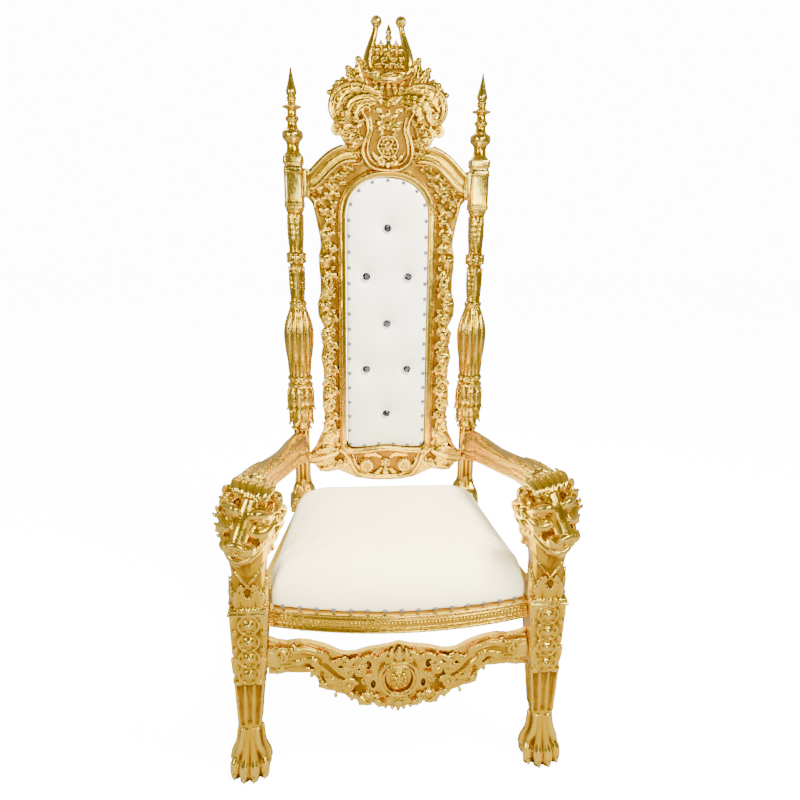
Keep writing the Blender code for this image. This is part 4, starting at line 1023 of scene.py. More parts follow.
@dataclass
class LionLeg:
    """One front leg: paw, flutes, block of medallions, ledge, chest and lion's head."""

    voxel: float = 0.0018
    budget: int = 107_000
    rosettes: int = 4
    paw_half: float = 48.0
    head_turn: float = 13.0
    head_nod: float = 14.0
    head_tilt: float = 13.0
    head_centre: Spot = (-9.0, 671.0, 10.0)

    def build(self, gold: Material) -> None:
        """Makes both legs and hands them over."""
        carving = Carving(LAYOUT.leg_sheet())
        lower = carving.within(LAYOUT.splayed_sheet())
        self.paw(lower)
        self.flutes(lower)
        self.block(lower)
        self.chest(carving)
        head = LAYOUT.leg_sheet() @ Matrix.Translation(self.head_centre)
        for angle, axis in ((self.head_turn, "Y"), (self.head_nod, "X"), (self.head_tilt, "Z")):
            head = head @ Matrix.Rotation(math.radians(angle), 4, axis)
        face = carving.within(head)
        self.face(face)
        self.jaws(face)
        self.mane(face)
        cuts = (Cut(1, 1, lambda z: LAYOUT.leg_rear_y()), Cut(2, -1, lambda x: 0.0),
                Cut(0, -1, self.seat_side))
        show_pair(carving.fused("lion_leg_right_carved", self.voxel, self.budget, cuts), gold, "lion_leg")

    def seat_side(self, z: float) -> float:
        """Least x that the right leg may reach at height z, where the rail and the cushion meet it."""
        low, high = LAYOUT.block_bottom, LAYOUT.seat_rail_top
        free = 0.24
        heights = (low - 0.012, low, high, high + 0.100, high + 0.130)
        return float(np.interp(z, heights, (free, LAYOUT.leg_inner_x(low), LAYOUT.leg_inner_x(high),
                                            LAYOUT.leg_inner_x(high), free)))

    def paw(self, carving: Carving) -> None:
        """The clawed paw: four long toes with knuckles, claws and a heel."""
        half = self.paw_half
        carving.rod([(0, 152, 0), (0, 110, 2), (0, 60, 3), (0, 24, 4), (0, -10, 4)],
                    (26, 27, 31, 36, 37), sides=16)
        for toe in range(4):
            share = (toe - 1.5) / 1.5
            x = share * half * 0.73
            reach = 47 - 16 * abs(share) ** 1.5
            carving.rod([(x * 0.42, 132, 22), (x * 0.58, 92, 27), (x * 0.80, 58, reach - 13),
                         (x * 0.98, 38, reach - 6), (x, 20, reach - 1), (x * 0.98, 4, reach - 5),
                         (x * 0.98, -6, reach - 8)], (6.5, 8.0, 10.5, 13.0, 12.0, 10.5, 10), sides=12)
            carving.ball((x, 40, reach - 5), (12.5, 10, 12))
            carving.rod([(x, 20, reach + 8), (x, 10, reach + 11), (x * 1.02, 1, reach + 9)], (5.5, 4.5, 1.6),
                        sides=8)
        for side in (-1, 1):
            carving.rod([(side * 25, 128, 2), (side * 29, 84, 2), (side * 37, 52, -4), (side * 39, 30, -6)],
                        (7, 8, 11, 13), sides=10)
            carving.ball((side * 36, 18, -8), (13, 20, 18))
        carving.ball((0, 22, -18), (36, 26, 30))

    def flutes(self, carving: Carving) -> None:
        """Three flutes with round feet on each seen face, below a scalloped apron."""
        low, high = 138.0, 268.0
        foot, top = 28.5, LAYOUT.block_foot_width / MM / 2
        self.taper(carving, (low - 16, foot - 5), (high + 8, top - 5.5))
        for face in (-90, 0, 90):
            sheet = carving.turned_sheet(face)
            for flute in range(3):
                near, far = (flute - 1.5) / 1.5, (flute - 0.5) / 1.5
                path = [(near * (top - 3.5), high, top - 4.5), (near * (foot - 3.2), low + 14, foot - 4.0)]
                middle = (near + far) / 2 * (foot - 3.2)
                radius = (far - near) / 2 * (foot - 3.2)
                for step in range(1, 6):
                    way = math.pi * step / 6
                    path.append((middle - radius * math.cos(way), low + 14 - radius * 1.3 * math.sin(way),
                                 foot - 4.0))
                path += [(far * (foot - 3.2), low + 14, foot - 4.0), (far * (top - 3.5), high, top - 4.5)]
                sheet.rod(path[:2], 3.1, steps=6)
                sheet.rod(path[1:-1], 3.1, steps=14)
                sheet.rod(path[-2:], 3.1, steps=6)
            for lobe in range(3):
                sheet.ball(((lobe - 1) * top * 0.66, high - 1, top - 3), (top * 0.36, 10, 5.5))

    def taper(self, carving: Carving, low: Flat, high: Flat) -> None:
        """A square taper with softened corners between two levels, each a height and a half width."""
        rings = []
        for up, half in np.linspace(low, high, 6):
            ring = []
            for c, s in around(24):
                reach = min(half / max(abs(c), abs(s)), half * 1.36)
                ring.append((reach * c, up, -reach * s))
            rings.append(ring)
        carving.loft(np.array(rings))

    def block(self, carving: Carving) -> None:
        """The tapered block with its stack of medallions, corner leaves and side panels."""
        low, high = LAYOUT.block_bottom / MM, LAYOUT.seat_rail_top / MM
        foot, top = LAYOUT.block_foot_width / MM / 2, LAYOUT.block_width / MM / 2
        self.taper(carving, (low - 2, foot - 1), (high + 8, top - 1))
        rear = (LAYOUT.leg_rear_y() - LAYOUT.leg_axis_y) / MM
        carving.block((-foot + 2, low, -rear - 2), (foot - 2, high + 8, 0), 1.0)
        pitch = (high - low) / self.rosettes
        for index in range(self.rosettes):
            up = high - pitch * (index + 0.5)
            half = LAYOUT.block_half(up * MM) / MM
            carving.rod(spiral((0, up), 90, (23, 23), 1.03, half + 1.5), 3.4, sides=10)
            carving.rose((0, up, half + 1.0), 19, petals=6)
            carving.ball((0, up, half + 7.5), (5.5, 5.5, 4.5))
            if index:
                for side in (-1, 1):
                    carving.ball((side * (half - 7), up + pitch / 2, half - 1), (6, 9, 5), dish=0.3)
        for face in (-90, 0, 90):
            sheet = carving.turned_sheet(face)
            for side in (-1, 1):
                if face:
                    sheet.rod([(side * (foot - 4), low + 74, foot + 1),
                               (side * (top - 5), high - 6, top - 1)], 2.6, steps=8)
                sheet.leaf([(side * 8, low + 6, foot), (side * (foot - 9), low + 32, foot + 1),
                            (side * (foot - 4), low + 66, foot + 3)], 11, lobes=4, curl=3)
            if face:
                sheet.rod([(-(foot - 3), low + 74, foot + 1), (foot - 3, low + 74, foot + 1)], 2.4, steps=6)
                sheet.rod([(-(top - 6), high - 6, top - 1), (top - 6, high - 6, top - 1)], 2.4, steps=6)
                sheet.leaf([(0, low + 4, foot), (0, low + 36, foot + 2), (0, low + 62, foot + 2)], 12,
                           lobes=4)

    def chest(self, carving: Carving) -> None:
        """The ledge, its ruffle of leaves, and the smooth chest with thin crossed lines and tall leaves."""
        ledge = LAYOUT.seat_rail_top / MM
        rear = (LAYOUT.leg_rear_y() - LAYOUT.leg_axis_y) / MM
        half = LAYOUT.block_width / MM / 2
        carving.block((-half - 5, ledge + 1, -rear - 2), (half + 5, ledge + 9, half + 6), 3.0)
        carving.block((-half - 2, ledge + 7, -rear - 2), (half + 2, ledge + 18, half + 3), 3.5)
        base = ledge + 14
        rings = []
        for up, wide, front, back in ((-4, 41, 41, 44), (40, 39, 38, 44), (80, 39, 37, 44),
                                      (112, 43, 40, 44), (150, 50, 42, 44), (190, 52, 36, 44),
                                      (232, 46, 26, 44), (264, 30, 12, 40)):
            ring = []
            for index in range(24):
                way = 2 * math.pi * index / 24
                depth = front if math.sin(way) < 0 else back
                c, s = math.cos(way), math.sin(way)
                square = 1 + 0.10 * math.sin(2 * way) ** 2
                ring.append((wide * square * c, base + up, -depth * square * s))
            rings.append(ring)
        carving.loft(np.array(rings))
        leaves = 11
        for index in range(leaves):
            way = math.radians(-8 + 196 * index / (leaves - 1))
            c, s = math.cos(way), math.sin(way)
            tall = 34 if index % 2 else 46
            carving.leaf([(c * (half - 3), base - 8, s * (half - 4)),
                          (c * (half + 2), base + tall * 0.5, s * (half + 1)),
                          (c * (half + 3), base + tall * 0.85, s * (half + 2)),
                          (c * (half + 7), base + tall * 0.98, s * (half + 6))], 12, lobes=3, curl=0,
                         facing=(c, 0.2, s), thick=0.46)
            carving.ball((c * (half + 1), base + 2, s * (half + 2)), (8.5, 8, 8.5), detail=1)
        for side in (-1, 1):
            carving.rod([(side * 44, base + 122, 16), (side * 27, base + 92, 35), (side * 4, base + 62, 40),
                         (-side * 10, base + 48, 40)], (2.2, 2.4, 2.2, 1.8), 0.9)
            carving.leaf([(side * 26, base + 4, 38), (side * 21, base + 36, 42), (side * 12, base + 66, 41)],
                         15, lobes=4, curl=3)
            carving.leaf([(side * 42, base + 4, 14), (side * 42, base + 40, 14), (side * 41, base + 74, 12)],
                         14, lobes=4, curl=3, facing=(side, 0, 0.3))

    def face(self, head: Carving) -> None:
        """Skull, brows, eyes, broad nose bridge, nose, cheeks and whisker pads."""
        head.ball((0, 4, -8), (55, 57, 44), detail=3)
        head.ball((0, 38, 12), (40, 26, 27), detail=3)
        head.rod([(-3, 62, 20), (-2, 38, 38), (-1, 14, 53), (0, -4, 67), (0, -13, 76)], (19, 21, 19, 19, 18),
                 0.86, sides=20)
        head.ball((0, -14, 87), (20, 9.5, 9))
        head.ball((0, -23, 88), (8, 9, 6))
        for side in (-1, 1):
            head.ball((side * 12, -15, 89), (8, 7, 6.5))
            head.rod([(side * 8, 36, 47), (side * 24, 47, 47), (side * 42, 40, 34), (side * 54, 24, 15)],
                     (9, 11.5, 10.5, 7), 0.9, sides=12)
            head.ball((side * 30, 24, 38), (11.5, 10, 10))
            head.ball((side * 42, 22, 27), (14, 14, 13))
            head.ball((side * 20, 0, 44), (18, 21, 18), detail=3)
            head.ball((side * 30.5, 23, 47), (4, 4, 2.4))
            head.rod([(side * 15, 19, 47), (side * 23, 32, 48), (side * 36, 32, 44), (side * 46, 19, 33)],
                     (3, 4, 4, 2.6))
            head.rod([(side * 15, 18, 47), (side * 24, 11, 48), (side * 36, 12, 44), (side * 46, 18, 33)],
                     (3, 3.8, 3.8, 2.6))
            head.rod([(side * 18, 8, 58), (side * 32, -2, 50), (side * 48, 0, 32), (side * 56, 12, 12)],
                     (8, 11, 12, 8), 0.9, sides=12)
            head.ball((side * 40, -12, 30), (20, 22, 22))
            head.ball((side * 19, -29, 73), (21, 17, 18), detail=3)
            for row in range(3):
                head.rod([(side * (9 + 3 * row), -20 - 6 * row, 91 - 2 * row),
                          (side * 25, -19 - 7 * row, 89 - 3 * row), (side * 38, -17 - 8 * row, 72)],
                         (1.4, 2.2, 1.6), 0.9)
            head.rod([(side * 2, -41, 84), (side * 17, -46, 80), (side * 32, -42, 64), (side * 42, -34, 42),
                      (side * 46, -26, 26)], (4.5, 6, 6.5, 6, 4))
            head.ball((side * 52, 50, 0), (17, 19, 10), side * -24, dish=0.8)

    def jaws(self, head: Carving) -> None:
        """The open mouth: a scooped lower jaw, chin tuft, tongue and teeth."""
        jaw = [(-42, -44, 22), (-35, -60, 42), (-22, -71, 60), (0, -75, 68), (22, -71, 60), (35, -60, 42),
               (42, -44, 22)]
        head.rod(jaw, (8, 8, 7, 7, 7, 8, 8), 0.9, sides=12)
        head.ball((0, -80, 42), (33, 13, 30), detail=3)
        head.ball((0, -88, 58), (16, 11, 12))
        head.rod([(0, -66, 20), (0, -65, 42), (0, -67, 56)], (15, 13, 8), 0.4, sides=12, facing=(0, 1, 0))
        for tooth in range(5):
            x = (tooth - 2) * 5.4
            head.rod([(x, -69, 64 - abs(x) * 0.3), (x, -61, 65 - abs(x) * 0.3)], (2.8, 1.7), steps=4)
            head.rod([(x, -40, 81 - abs(x) * 0.2), (x, -49, 80 - abs(x) * 0.2)], (2.6, 1.4), steps=4)
        for side in (-1, 1):
            head.rod([(side * 24, -66, 56), (side * 24.5, -51, 59)], (5.2, 1.6), steps=5)
            head.rod([(side * 20, -40, 74), (side * 19.5, -60, 75)], (5.8, 1.5), steps=5)
            for strand in range(4):
                x = side * (5 + 9 * strand)
                head.rod([(x * 0.8, -84, 60 - 9 * strand), (x, -98, 50 - 10 * strand),
                          (x * 1.05, -112, 32 - 9 * strand)], (6.5, 6, 1.8), sides=8, groove=0.3)

    def mane(self, head: Carving) -> None:
        """Locks that swirl round the face, big curls down the outer side and a ruff on the inner cheek."""
        rings = ((14, 20, 208, 50, 66, 12, -2, 11.0), (15, -10, 216, 50, 70, -4, -16, 12.0),
                 (15, -24, 212, 44, 68, -24, -34, 12.5))
        for ring, (count, first, last, inner, outer, near, far, thick) in enumerate(rings):
            for index in range(count):
                angle = first + (last - first) * index / (count - 1)
                way = math.radians(angle)
                hook = 1 if (index + ring) % 2 else -1
                tall = 1.0 + 0.02 * math.sin(way)
                self.lock(head, way, (inner, outer * tall), (near, far), hook * (14 + 4 * ring), thick)
        for index, (x, up, out, size) in enumerate(((44, 44, 26, 19), (52, 4, 24, 21), (50, -36, 22, 19),
                                                    (50, -70, 8, 16), (46, -98, 2, 13))):
            self.whorl(head, (x, up, out), size, 1 if index % 2 else -1)
        for strand in range(4):
            x = -38 - 5 * strand
            out = 18 - 13 * strand
            head.rod([(x, -30, out), (x - 5, -54, out + 5), (x + 2, -78, out + 5), (x - 3, -98, out + 1),
                      (x + 5, -108, out + 2)], (9, 9, 7.5, 5.5, 1.5), sides=10, groove=0.4)
        for lock in range(6):
            x = (lock - 2.5) * 14
            head.rod([(x * 0.6, 58, 30 - abs(x) * 0.25), (x * 0.9, 72, 18), (x * 1.1 + 3, 80, 0),
                      (x * 1.1, 78, -18), (x * 1.0 + 4, 76, -36)], (6, 9, 8.5, 7, 3), sides=10, groove=0.45,
                     facing=(0, 0.5, 1))

    def whorl(self, head: Carving, at: Spot, radius: float, hand: int) -> None:
        """A curl of the mane: a coiled strand round a raised eye, with short locks off its rim."""
        x, up, out = at
        head.ball((x, up, out - 0.5 * radius), (radius * 0.9, radius * 0.9, radius * 0.8))
        coil = spiral((x, up), 90, (radius * 0.74, radius * 0.22), hand * 1.5, out + 0.20 * radius)
        head.rod(coil, (radius * 0.26, radius * 0.25, radius * 0.17), sides=10, groove=0.3,
                 steps=2 * len(coil))
        head.ball((x, up, out + 0.28 * radius), (radius * 0.20, radius * 0.20, radius * 0.22))
        for c, s in around(6, 0.5):
            bend, tip = ((x + far * radius * c - hand * aside * radius * s,
                          up + far * radius * s + hand * aside * radius * c)
                         for far, aside in ((1.02, 0.2), (1.10, 0.5)))
            head.rod([(x + 0.72 * radius * c, up + 0.72 * radius * s, out), (*bend, out - 1),
                      (*tip, out - 4)], (radius * 0.24, radius * 0.20, radius * 0.06))

    def lock(self, head: Carving, way: float, reach: Flat, out: Flat, swing: float,
             thick: float) -> None:
        """One lock of the mane that swirls out and hooks at its tip.

        Args:
            head: The drawing of the head.
            way: Direction from the face's middle in radians.
            reach: Distance of its root and tip from the middle.
            out: Depth of its root and tip.
            swing: How far its tip hooks sideways.
            thick: Its radius at the root.
        """
        c, s = math.cos(way), math.sin(way)
        inner, outer = reach
        near, far = out

        def spot(distance: float, sideways: float, depth: float) -> Spot:
            """A point at a distance from the middle, moved sideways."""
            return c * distance - s * sideways, s * distance * 0.98 + c * sideways, depth

        span = outer - inner
        head.rod([spot(inner - 4, 0, near), spot(inner + span * 0.35, -swing * 0.35, near + 4),
                  spot(inner + span * 0.75, -swing * 0.20, (near + far) / 2 + 4),
                  spot(outer, swing * 0.45, far), spot(outer - span * 0.22, swing * 0.85, far + 2)],
                 (thick, thick * 1.02, thick * 0.82, thick * 0.52, thick * 0.18), 0.85, sides=10,
                 groove=0.42)


# Posts

@dataclass
class Posts:
    """The two carved posts, which lean out and back."""

    voxel: float = 0.0015
    budget: int = 55_000
    reeds: int = 10
    capital_leaves: int = 8

    def build(self, gold: Material) -> None:
        """Makes both posts and hands them over."""
        carving = Carving(LAYOUT.post_sheet())
        foot, stem, capital, bulb, column, shoulder, finial, tip = LAYOUT.post_stages()
        self.foot(carving, foot, stem, capital)
        self.capital(carving, capital, bulb)
        self.bulb(carving, bulb, column)
        self.column(carving, column, shoulder)
        self.shoulder(carving, shoulder, finial)
        self.finial(carving, finial, tip)
        cuts = (Cut(2, -1, lambda x: foot * MM),)
        show_pair(carving.fused("post_right_carved", self.voxel, self.budget, cuts), gold, "post")

    def foot(self, carving: Carving, foot: float, stem: float, capital: float) -> None:
        """The shell foot and the ribbed stem."""
        tall = stem - foot
        carving.turned([(foot - 4, 36), (foot + 0.42 * tall, 36), (foot + 0.62 * tall, 32),
                        (foot + 0.80 * tall, 23), (stem, 17), (capital + 4, 17)], Form.SQUARE)
        for face in (-90, 0, 90, 180):
            sheet = carving.turned_sheet(face)
            sheet.rod([(-35, foot + 5, 34), (35, foot + 5, 34)], 5, steps=8)
            sheet.shell((0, foot + 14, 34), 33, 9, 90, spread=165)
            for ring in range(2):
                reach = 22 + 13 * ring
                arc = [(reach * math.cos(math.radians(way)),
                        foot + 14 + reach * 0.95 * math.sin(math.radians(way)), 37 - 2 * ring)
                       for way in range(10, 171, 20)]
                sheet.rod(arc, 2.4)
            sheet.leaf([(0, foot + 50, 31), (0, stem - 22, 24), (0, stem + 6, 19)], 13, lobes=4, curl=3)
            for side in (-1, 0, 1):
                sheet.rod([(side * 12.5, stem - 8, 18), (side * 12.5, capital + 2, 17.5)], 4.6, steps=8)

    def capital(self, carving: Carving, low: float, high: float) -> None:
        """The leaf capital, whose leaves hang from its upper ring and turn out at their tips."""
        tall = high - low
        carving.turned([(low - 2, 19), (low + 0.10 * tall, 27), (low + 0.30 * tall, 32),
                        (low + 0.62 * tall, 31), (low + 0.92 * tall, 30), (high + 2, 32)], Form.ROUND)
        carving.turned([(high - 11, 30), (high - 9, 36), (high - 2, 37), (high, 31)], Form.ROUND)
        for c, s in around(self.capital_leaves, 0.5):
            carving.leaf([(c * 28, low + 0.74 * tall, s * 28), (c * 33, low + 0.46 * tall, s * 33),
                          (c * 33, low + 0.24 * tall, s * 33), (c * 36, low + 0.12 * tall, s * 36)], 13,
                         lobes=4, curl=4, facing=(c, 0, s))
        for c, s in around(self.capital_leaves):
            carving.leaf([(c * 30, high - 6, s * 30), (c * 36, high - 0.20 * tall, s * 36),
                          (c * 36, high - 0.48 * tall, s * 36), (c * 40, high - 0.60 * tall, s * 40)], 14.5,
                         lobes=5, curl=5, facing=(c, 0, s))
            carving.ball((c * 27, low + 5, s * 27), (6, 6, 6), detail=1)

    def bulb(self, carving: Carving, low: float, high: float) -> None:
        """The bulb: lumps, a waist of narrow reeds, and broad reeds with pointed tops."""
        tall = high - low
        carving.turned([(low - 2, 30), (low + 0.10 * tall, 31), (low + 0.15 * tall, 29),
                        (low + 0.34 * tall, 31), (low + 0.62 * tall, 36), (low + 0.78 * tall, 32),
                        (low + 0.90 * tall, 25), (high, 20)], Form.ROUND)
        for c, s in around(14):
            carving.ball((c * 29, low + 0.065 * tall, s * 29), (7.5, 9, 7.5))
        for c, s in around(16, 0.5):
            carving.rod([(c * 27, low + 0.12 * tall, s * 27), (c * 29, low + 0.24 * tall, s * 29),
                         (c * 31, low + 0.37 * tall, s * 31)], (5.2, 5.6, 4.0), facing=(c, 0, s))
        for c, s in around(self.reeds):
            carving.rod([(c * 27, low + 0.27 * tall, s * 27), (c * 30.5, low + 0.42 * tall, s * 30.5),
                         (c * 33, low + 0.62 * tall, s * 33), (c * 30.5, low + 0.76 * tall, s * 30.5),
                         (c * 24, low + 0.90 * tall, s * 24), (c * 21, low + 0.99 * tall, s * 21)],
                        (7.0, 9.4, 10.6, 9.6, 5.5, 1.5), 0.95, sides=12, facing=(c, 0, s))
        for c, s in around(self.reeds, 0.5):
            carving.leaf([(c * 30, low + 0.66 * tall, s * 30), (c * 27, low + 0.84 * tall, s * 27),
                          (c * 22, low + 0.98 * tall, s * 22)], 6, lobes=2, curl=1, facing=(c, 0, s))

    def column(self, carving: Carving, low: float, high: float) -> None:
        """The column: rings, long leaves and a knot of flowers."""
        tall = high - low
        carving.turned([(low - 2, 23), (low + 4, 25), (low + 9, 25), (low + 12, 20), (low + 0.46 * tall, 19),
                        (low + 0.60 * tall, 20), (high - 14, 21), (high - 8, 25), (high + 1, 25)], Form.ROUND)
        for stage, (start, end) in enumerate(((0.05, 0.42), (0.57, 0.93))):
            for c, s in around(5, 0.5 * stage + 0.25):
                carving.leaf([(c * 17, low + start * tall, s * 17),
                              (c * 20, low + (start + 0.45 * (end - start)) * tall, s * 20),
                              (c * 21, low + end * tall, s * 21)], 11.5, lobes=7, curl=3, facing=(c, 0, s))
            for c, s in around(5, 0.5 * stage + 0.75):
                carving.leaf([(c * 16, low + (start + 0.02) * tall, s * 16),
                              (c * 19, low + (start + 0.24) * tall, s * 19),
                              (c * 20, low + (end - 0.02) * tall, s * 20)], 6.5, lobes=4, curl=2,
                             facing=(c, 0, s))
        knot = low + 0.49 * tall
        for c, s in around(8):
            carving.ball((c * 21, knot - 9, s * 21), (7.5, 6, 7.5))
            carving.ball((c * 21, knot + 10, s * 21), (7.5, 6, 7.5))
        for angle in range(0, 360, 60):
            carving.turned_sheet(angle).rose((0, knot, 23), 12.5)

    def shoulder(self, carving: Carving, low: float, high: float) -> None:
        """The smooth squared block that the yoke meets, with thin bands round it."""
        tall = high - low
        carving.turned([(low - 2, 25), (low + 3, 26), (low + 0.78 * tall, 26), (low + 0.80 * tall, 24),
                        (low + 0.84 * tall, 24), (low + 0.86 * tall, 27.5), (high, 27.5)], Form.SQUARE)
        for up in (low + 3, low + 10, low + 0.70 * tall, low + 0.93 * tall):
            carving.turned([(up - 2.4, 25), (up - 1.4, 27.6), (up + 1.4, 27.6), (up + 2.4, 25)], Form.SQUARE)

    def finial(self, carving: Carving, low: float, tip: float) -> None:
        """The finial: rings, a thin disc and a spike."""
        tall = tip - low
        shares = ((0.0, 25), (0.02, 24), (0.05, 18), (0.11, 16.5), (0.15, 17.5), (0.17, 20), (0.19, 25),
                  (0.215, 28), (0.25, 28.6), (0.285, 26.5), (0.30, 20), (0.32, 15), (0.36, 13), (0.39, 13.5),
                  (0.405, 17), (0.425, 18.6), (0.445, 17), (0.46, 12.8), (0.50, 12), (0.53, 13), (0.545, 22),
                  (0.552, 26), (0.566, 26), (0.573, 18), (0.59, 11.5), (0.615, 10), (0.625, 13), (0.635, 13),
                  (0.645, 10.5), (0.655, 13.5), (0.665, 13.5), (0.675, 10.5), (0.71, 14.5), (0.74, 14.5),
                  (0.79, 11), (0.85, 7.8), (0.93, 4.4), (1.0, 1.6))
        carving.turned([(low + share * tall, radius) for share, radius in shares], Form.ROUND)


# Back frame

@dataclass
class BackFrame:
    """The carved frame of the back: arch band, yokes, side chains of flowers, wings and apron."""

    voxel: float = 0.0017
    budget: int = 154_000
    side_edge: tuple[Flat, ...] = ((205, 1332), (198, 1304), (192, 1275), (186, 1245), (184, 1220),
                                   (190, 1193), (189, 1160), (186, 1127), (186, 1094), (195, 1061),
                                   (193, 1027), (177, 994), (189, 977), (181, 942), (188, 908), (181, 873),
                                   (180, 838), (185, 802), (184, 766), (179, 730), (181, 694), (190, 676),
                                   (200, 655), (207, 638), (220, 622))

    def build(self, gold: Material) -> None:
        """Makes the frame and hands it over."""
        right = LAYOUT.back_sheet()
        carving = Carving(right, OTHER_SIDE @ right)
        middle = carving.within(right)
        self.board(middle)
        self.arch_band(middle)
        self.yoke(carving)
        self.spandrel(carving)
        self.side_chain(carving)
        self.wing(carving)
        self.apron(carving, middle)
        cuts = (Cut(2, 1, lambda x: joint_height(x) - GAP), Cut(0, 1, post_face),
                Cut(0, -1, lambda z: -post_face(z)),
                Cut(1, 1, lambda z: LAYOUT.frame_rear + LAYOUT.back_rake * z))
        show(carving.fused("back_frame_carved", self.voxel, self.budget, cuts), Slot.GOLD, gold, "back_frame")

    def board(self, sheet: Carving) -> None:
        """The board behind the relief, with the opening."""
        lower = [(0, 536), (60, 538), (86, 541), (110, 553), (143, 567), (172, 560), (196, 563), (206, 582),
                 (222, 590)]
        upper = [(228, 1360), (229, 1412), (200, 1428), (176, 1452), (150, 1472), (120, 1478), (0, 1440)]
        edge = lower + list(reversed(self.side_edge)) + upper
        outline = edge + [(-x, up) for x, up in reversed(edge[1:-1])]
        opening = [(x / MM, z / MM) for x, z in LAYOUT.opening(0.0)]
        sheet.plate(outline, 0.0, 22.0, [opening])

    def arch_band(self, sheet: Carving) -> None:
        """The plain band round the opening, with its inner bead and outer fillet."""
        for grow, out, width, flat in ((0.0115, 22, 9.8, 2.3), (0.0042, 36, 3.6, 1.4),
                                       (0.0180, 33, 3.4, 1.6)):
            ring = [(x / MM, z / MM, out) for x, z in LAYOUT.opening(grow)]
            sheet.rod(ring + ring[:2], width, flat, sides=12, steps=3 * len(ring))

    def yoke_line(self, offset: float, out: float) -> list[Spot]:
        """Points along the yoke from the post in to the crest, moved across it by an offset."""
        line = [(231, 1384), (212, 1387), (196, 1396), (178, 1414), (160, 1432), (140, 1448), (112, 1460),
                (76, 1462)]
        moved = []
        for index, (x, up) in enumerate(line):
            before, after = line[max(index - 1, 0)], line[min(index + 1, len(line) - 1)]
            length = math.hypot(after[0] - before[0], after[1] - before[1])
            nx, nz = (after[1] - before[1]) / length, -(after[0] - before[0]) / length
            moved.append((x + nx * offset, up + nz * offset, out))
        return moved

    def yoke(self, carving: Carving) -> None:
        """The moulded yoke with its ridges and the upright plate at its end."""
        carving.rod(self.yoke_line(0, 20), (27, 26, 25, 25, 25, 24, 22, 18), 0.66, sides=16)
        carving.rod(self.yoke_line(20, 33), (7.5, 8, 8, 8, 8, 7.5, 7), sides=10)
        carving.rod(self.yoke_line(-17, 31), (6, 6.5, 6.5, 6, 6, 5), sides=10)
        carving.rod(self.yoke_line(-26, 24), (3, 3, 3, 3, 3, 2.4), sides=8)
        carving.block((216, 1346, 0), (229, 1422, 45), 4)
        carving.rod([(213, 1350, 36), (213, 1418, 36)], 4.5, steps=8)

    def spandrel(self, carving: Carving) -> None:
        """The panel of roses between the arch and the yoke, inside a curved fillet."""
        carving.rod([(206, 1352, 26), (196, 1338, 30), (196, 1318, 30), (190, 1300, 28)], 4.5)
        carving.roses(((181, 1342, 15), (159, 1356, 14), (172, 1313, 15), (137, 1381, 13), (152, 1398, 11),
                       (116, 1411, 12), (160, 1290, 11), (146, 1334, 11), (136, 1358, 10), (118, 1388, 10),
                       (184, 1368, 10), (164, 1382, 10), (96, 1424, 9), (146, 1302, 9)), 27)
        for root, tip in (((150, 1338), (168, 1362)), ((140, 1362), (160, 1384)), ((160, 1326), (146, 1300)),
                          ((124, 1396), (140, 1412)), ((186, 1326), (194, 1350)), ((104, 1424), (124, 1432)),
                          ((150, 1310), (136, 1338)), ((172, 1376), (190, 1372))):
            middle = ((root[0] + tip[0]) / 2 + 2, (root[1] + tip[1]) / 2, 28)
            carving.leaf([(*root, 24), middle, (*tip, 26)], 8.5, lobes=3, curl=3)

    def side_chain(self, carving: Carving) -> None:
        """The chain of roses, leaves, rings and shells down each side."""
        vine = []
        for step in range(44):
            up = 1285 - 14.6 * step
            vine.append((162 + 12 * math.sin(step * 0.92), up, 27))
        carving.rod(vine, 4.8, 0.9, sides=8, steps=150)
        for step in range(21):
            carving.rose((149 + 27 * (step % 2), 1282 - 30 * step, 26), 9.5 if step % 2 else 8.5)
        carving.roses(((166, 1248, 18), (172, 1178, 18), (172, 1056, 18), (166, 972, 17), (166, 905, 17),
                       (166, 804, 17), (166, 726, 16), (152, 1212, 11), (150, 1142, 11)), 29)
        for x, up, radius, turns in ((167, 1122, 16, 1.1), (166, 1016, 15, -1.1), (164, 940, 14, 1.1),
                                     (165, 868, 15, -1.1), (164, 764, 15, 1.1), (163, 692, 15, -1.1)):
            carving.scroll((x, up), radius, 90, turns, 4.8, 29)
        for up, lean in ((1268, 1), (1228, -1), (1196, 1), (1152, -1), (1096, 1), (1034, -1), (994, 1),
                         (956, -1), (922, 1), (888, -1), (848, 1), (826, -1), (784, 1), (748, -1), (710, 1),
                         (676, -1)):
            carving.leaf([(160 - 4 * lean, up, 25), (161 + 12 * lean, up - 9, 30),
                          (162 + 23 * lean, up - 24, 28)], 10, lobes=4, curl=4)
            carving.leaf([(158, up + 4, 25), (158 - 8 * lean, up - 8, 28), (158 - 13 * lean, up - 20, 27)], 7,
                         lobes=3, curl=3)
        carving.shell((148, 1088, 26), 32, 6, 10, spread=110)
        carving.shell((140, 652, 26), 46, 7, 28, spread=115)
        carving.rod([(142, 690, 28), (170, 680, 30), (186, 662, 28), (196, 640, 26)], (3.5, 4.5, 4, 3))

    def wing(self, carving: Carving) -> None:
        """The wing from the frame's corner to the post, with curls under it."""
        carving.rod([(132, 634, 20), (158, 622, 24), (190, 612, 24), (226, 606, 22)], (13, 19, 20, 19), 0.72,
                    sides=12)
        carving.sprays((((146, 630), (176, 634), (210, 626), 12), ((150, 616), (184, 612), (224, 612), 13),
                        ((150, 604), (182, 594), (216, 592), 12), ((146, 596), (166, 580), (196, 572), 11),
                        ((132, 604), (140, 586), (158, 568), 12), ((118, 612), (118, 592), (128, 568), 12)),
                       (30, 35, 32), lobes=5, curl=3)
        carving.scroll((190, 586), 15, 100, -1.2, 6, 26)
        carving.scroll((156, 588), 12, 60, 1.1, 5, 30)
        carving.rose((214, 604, 30), 12)

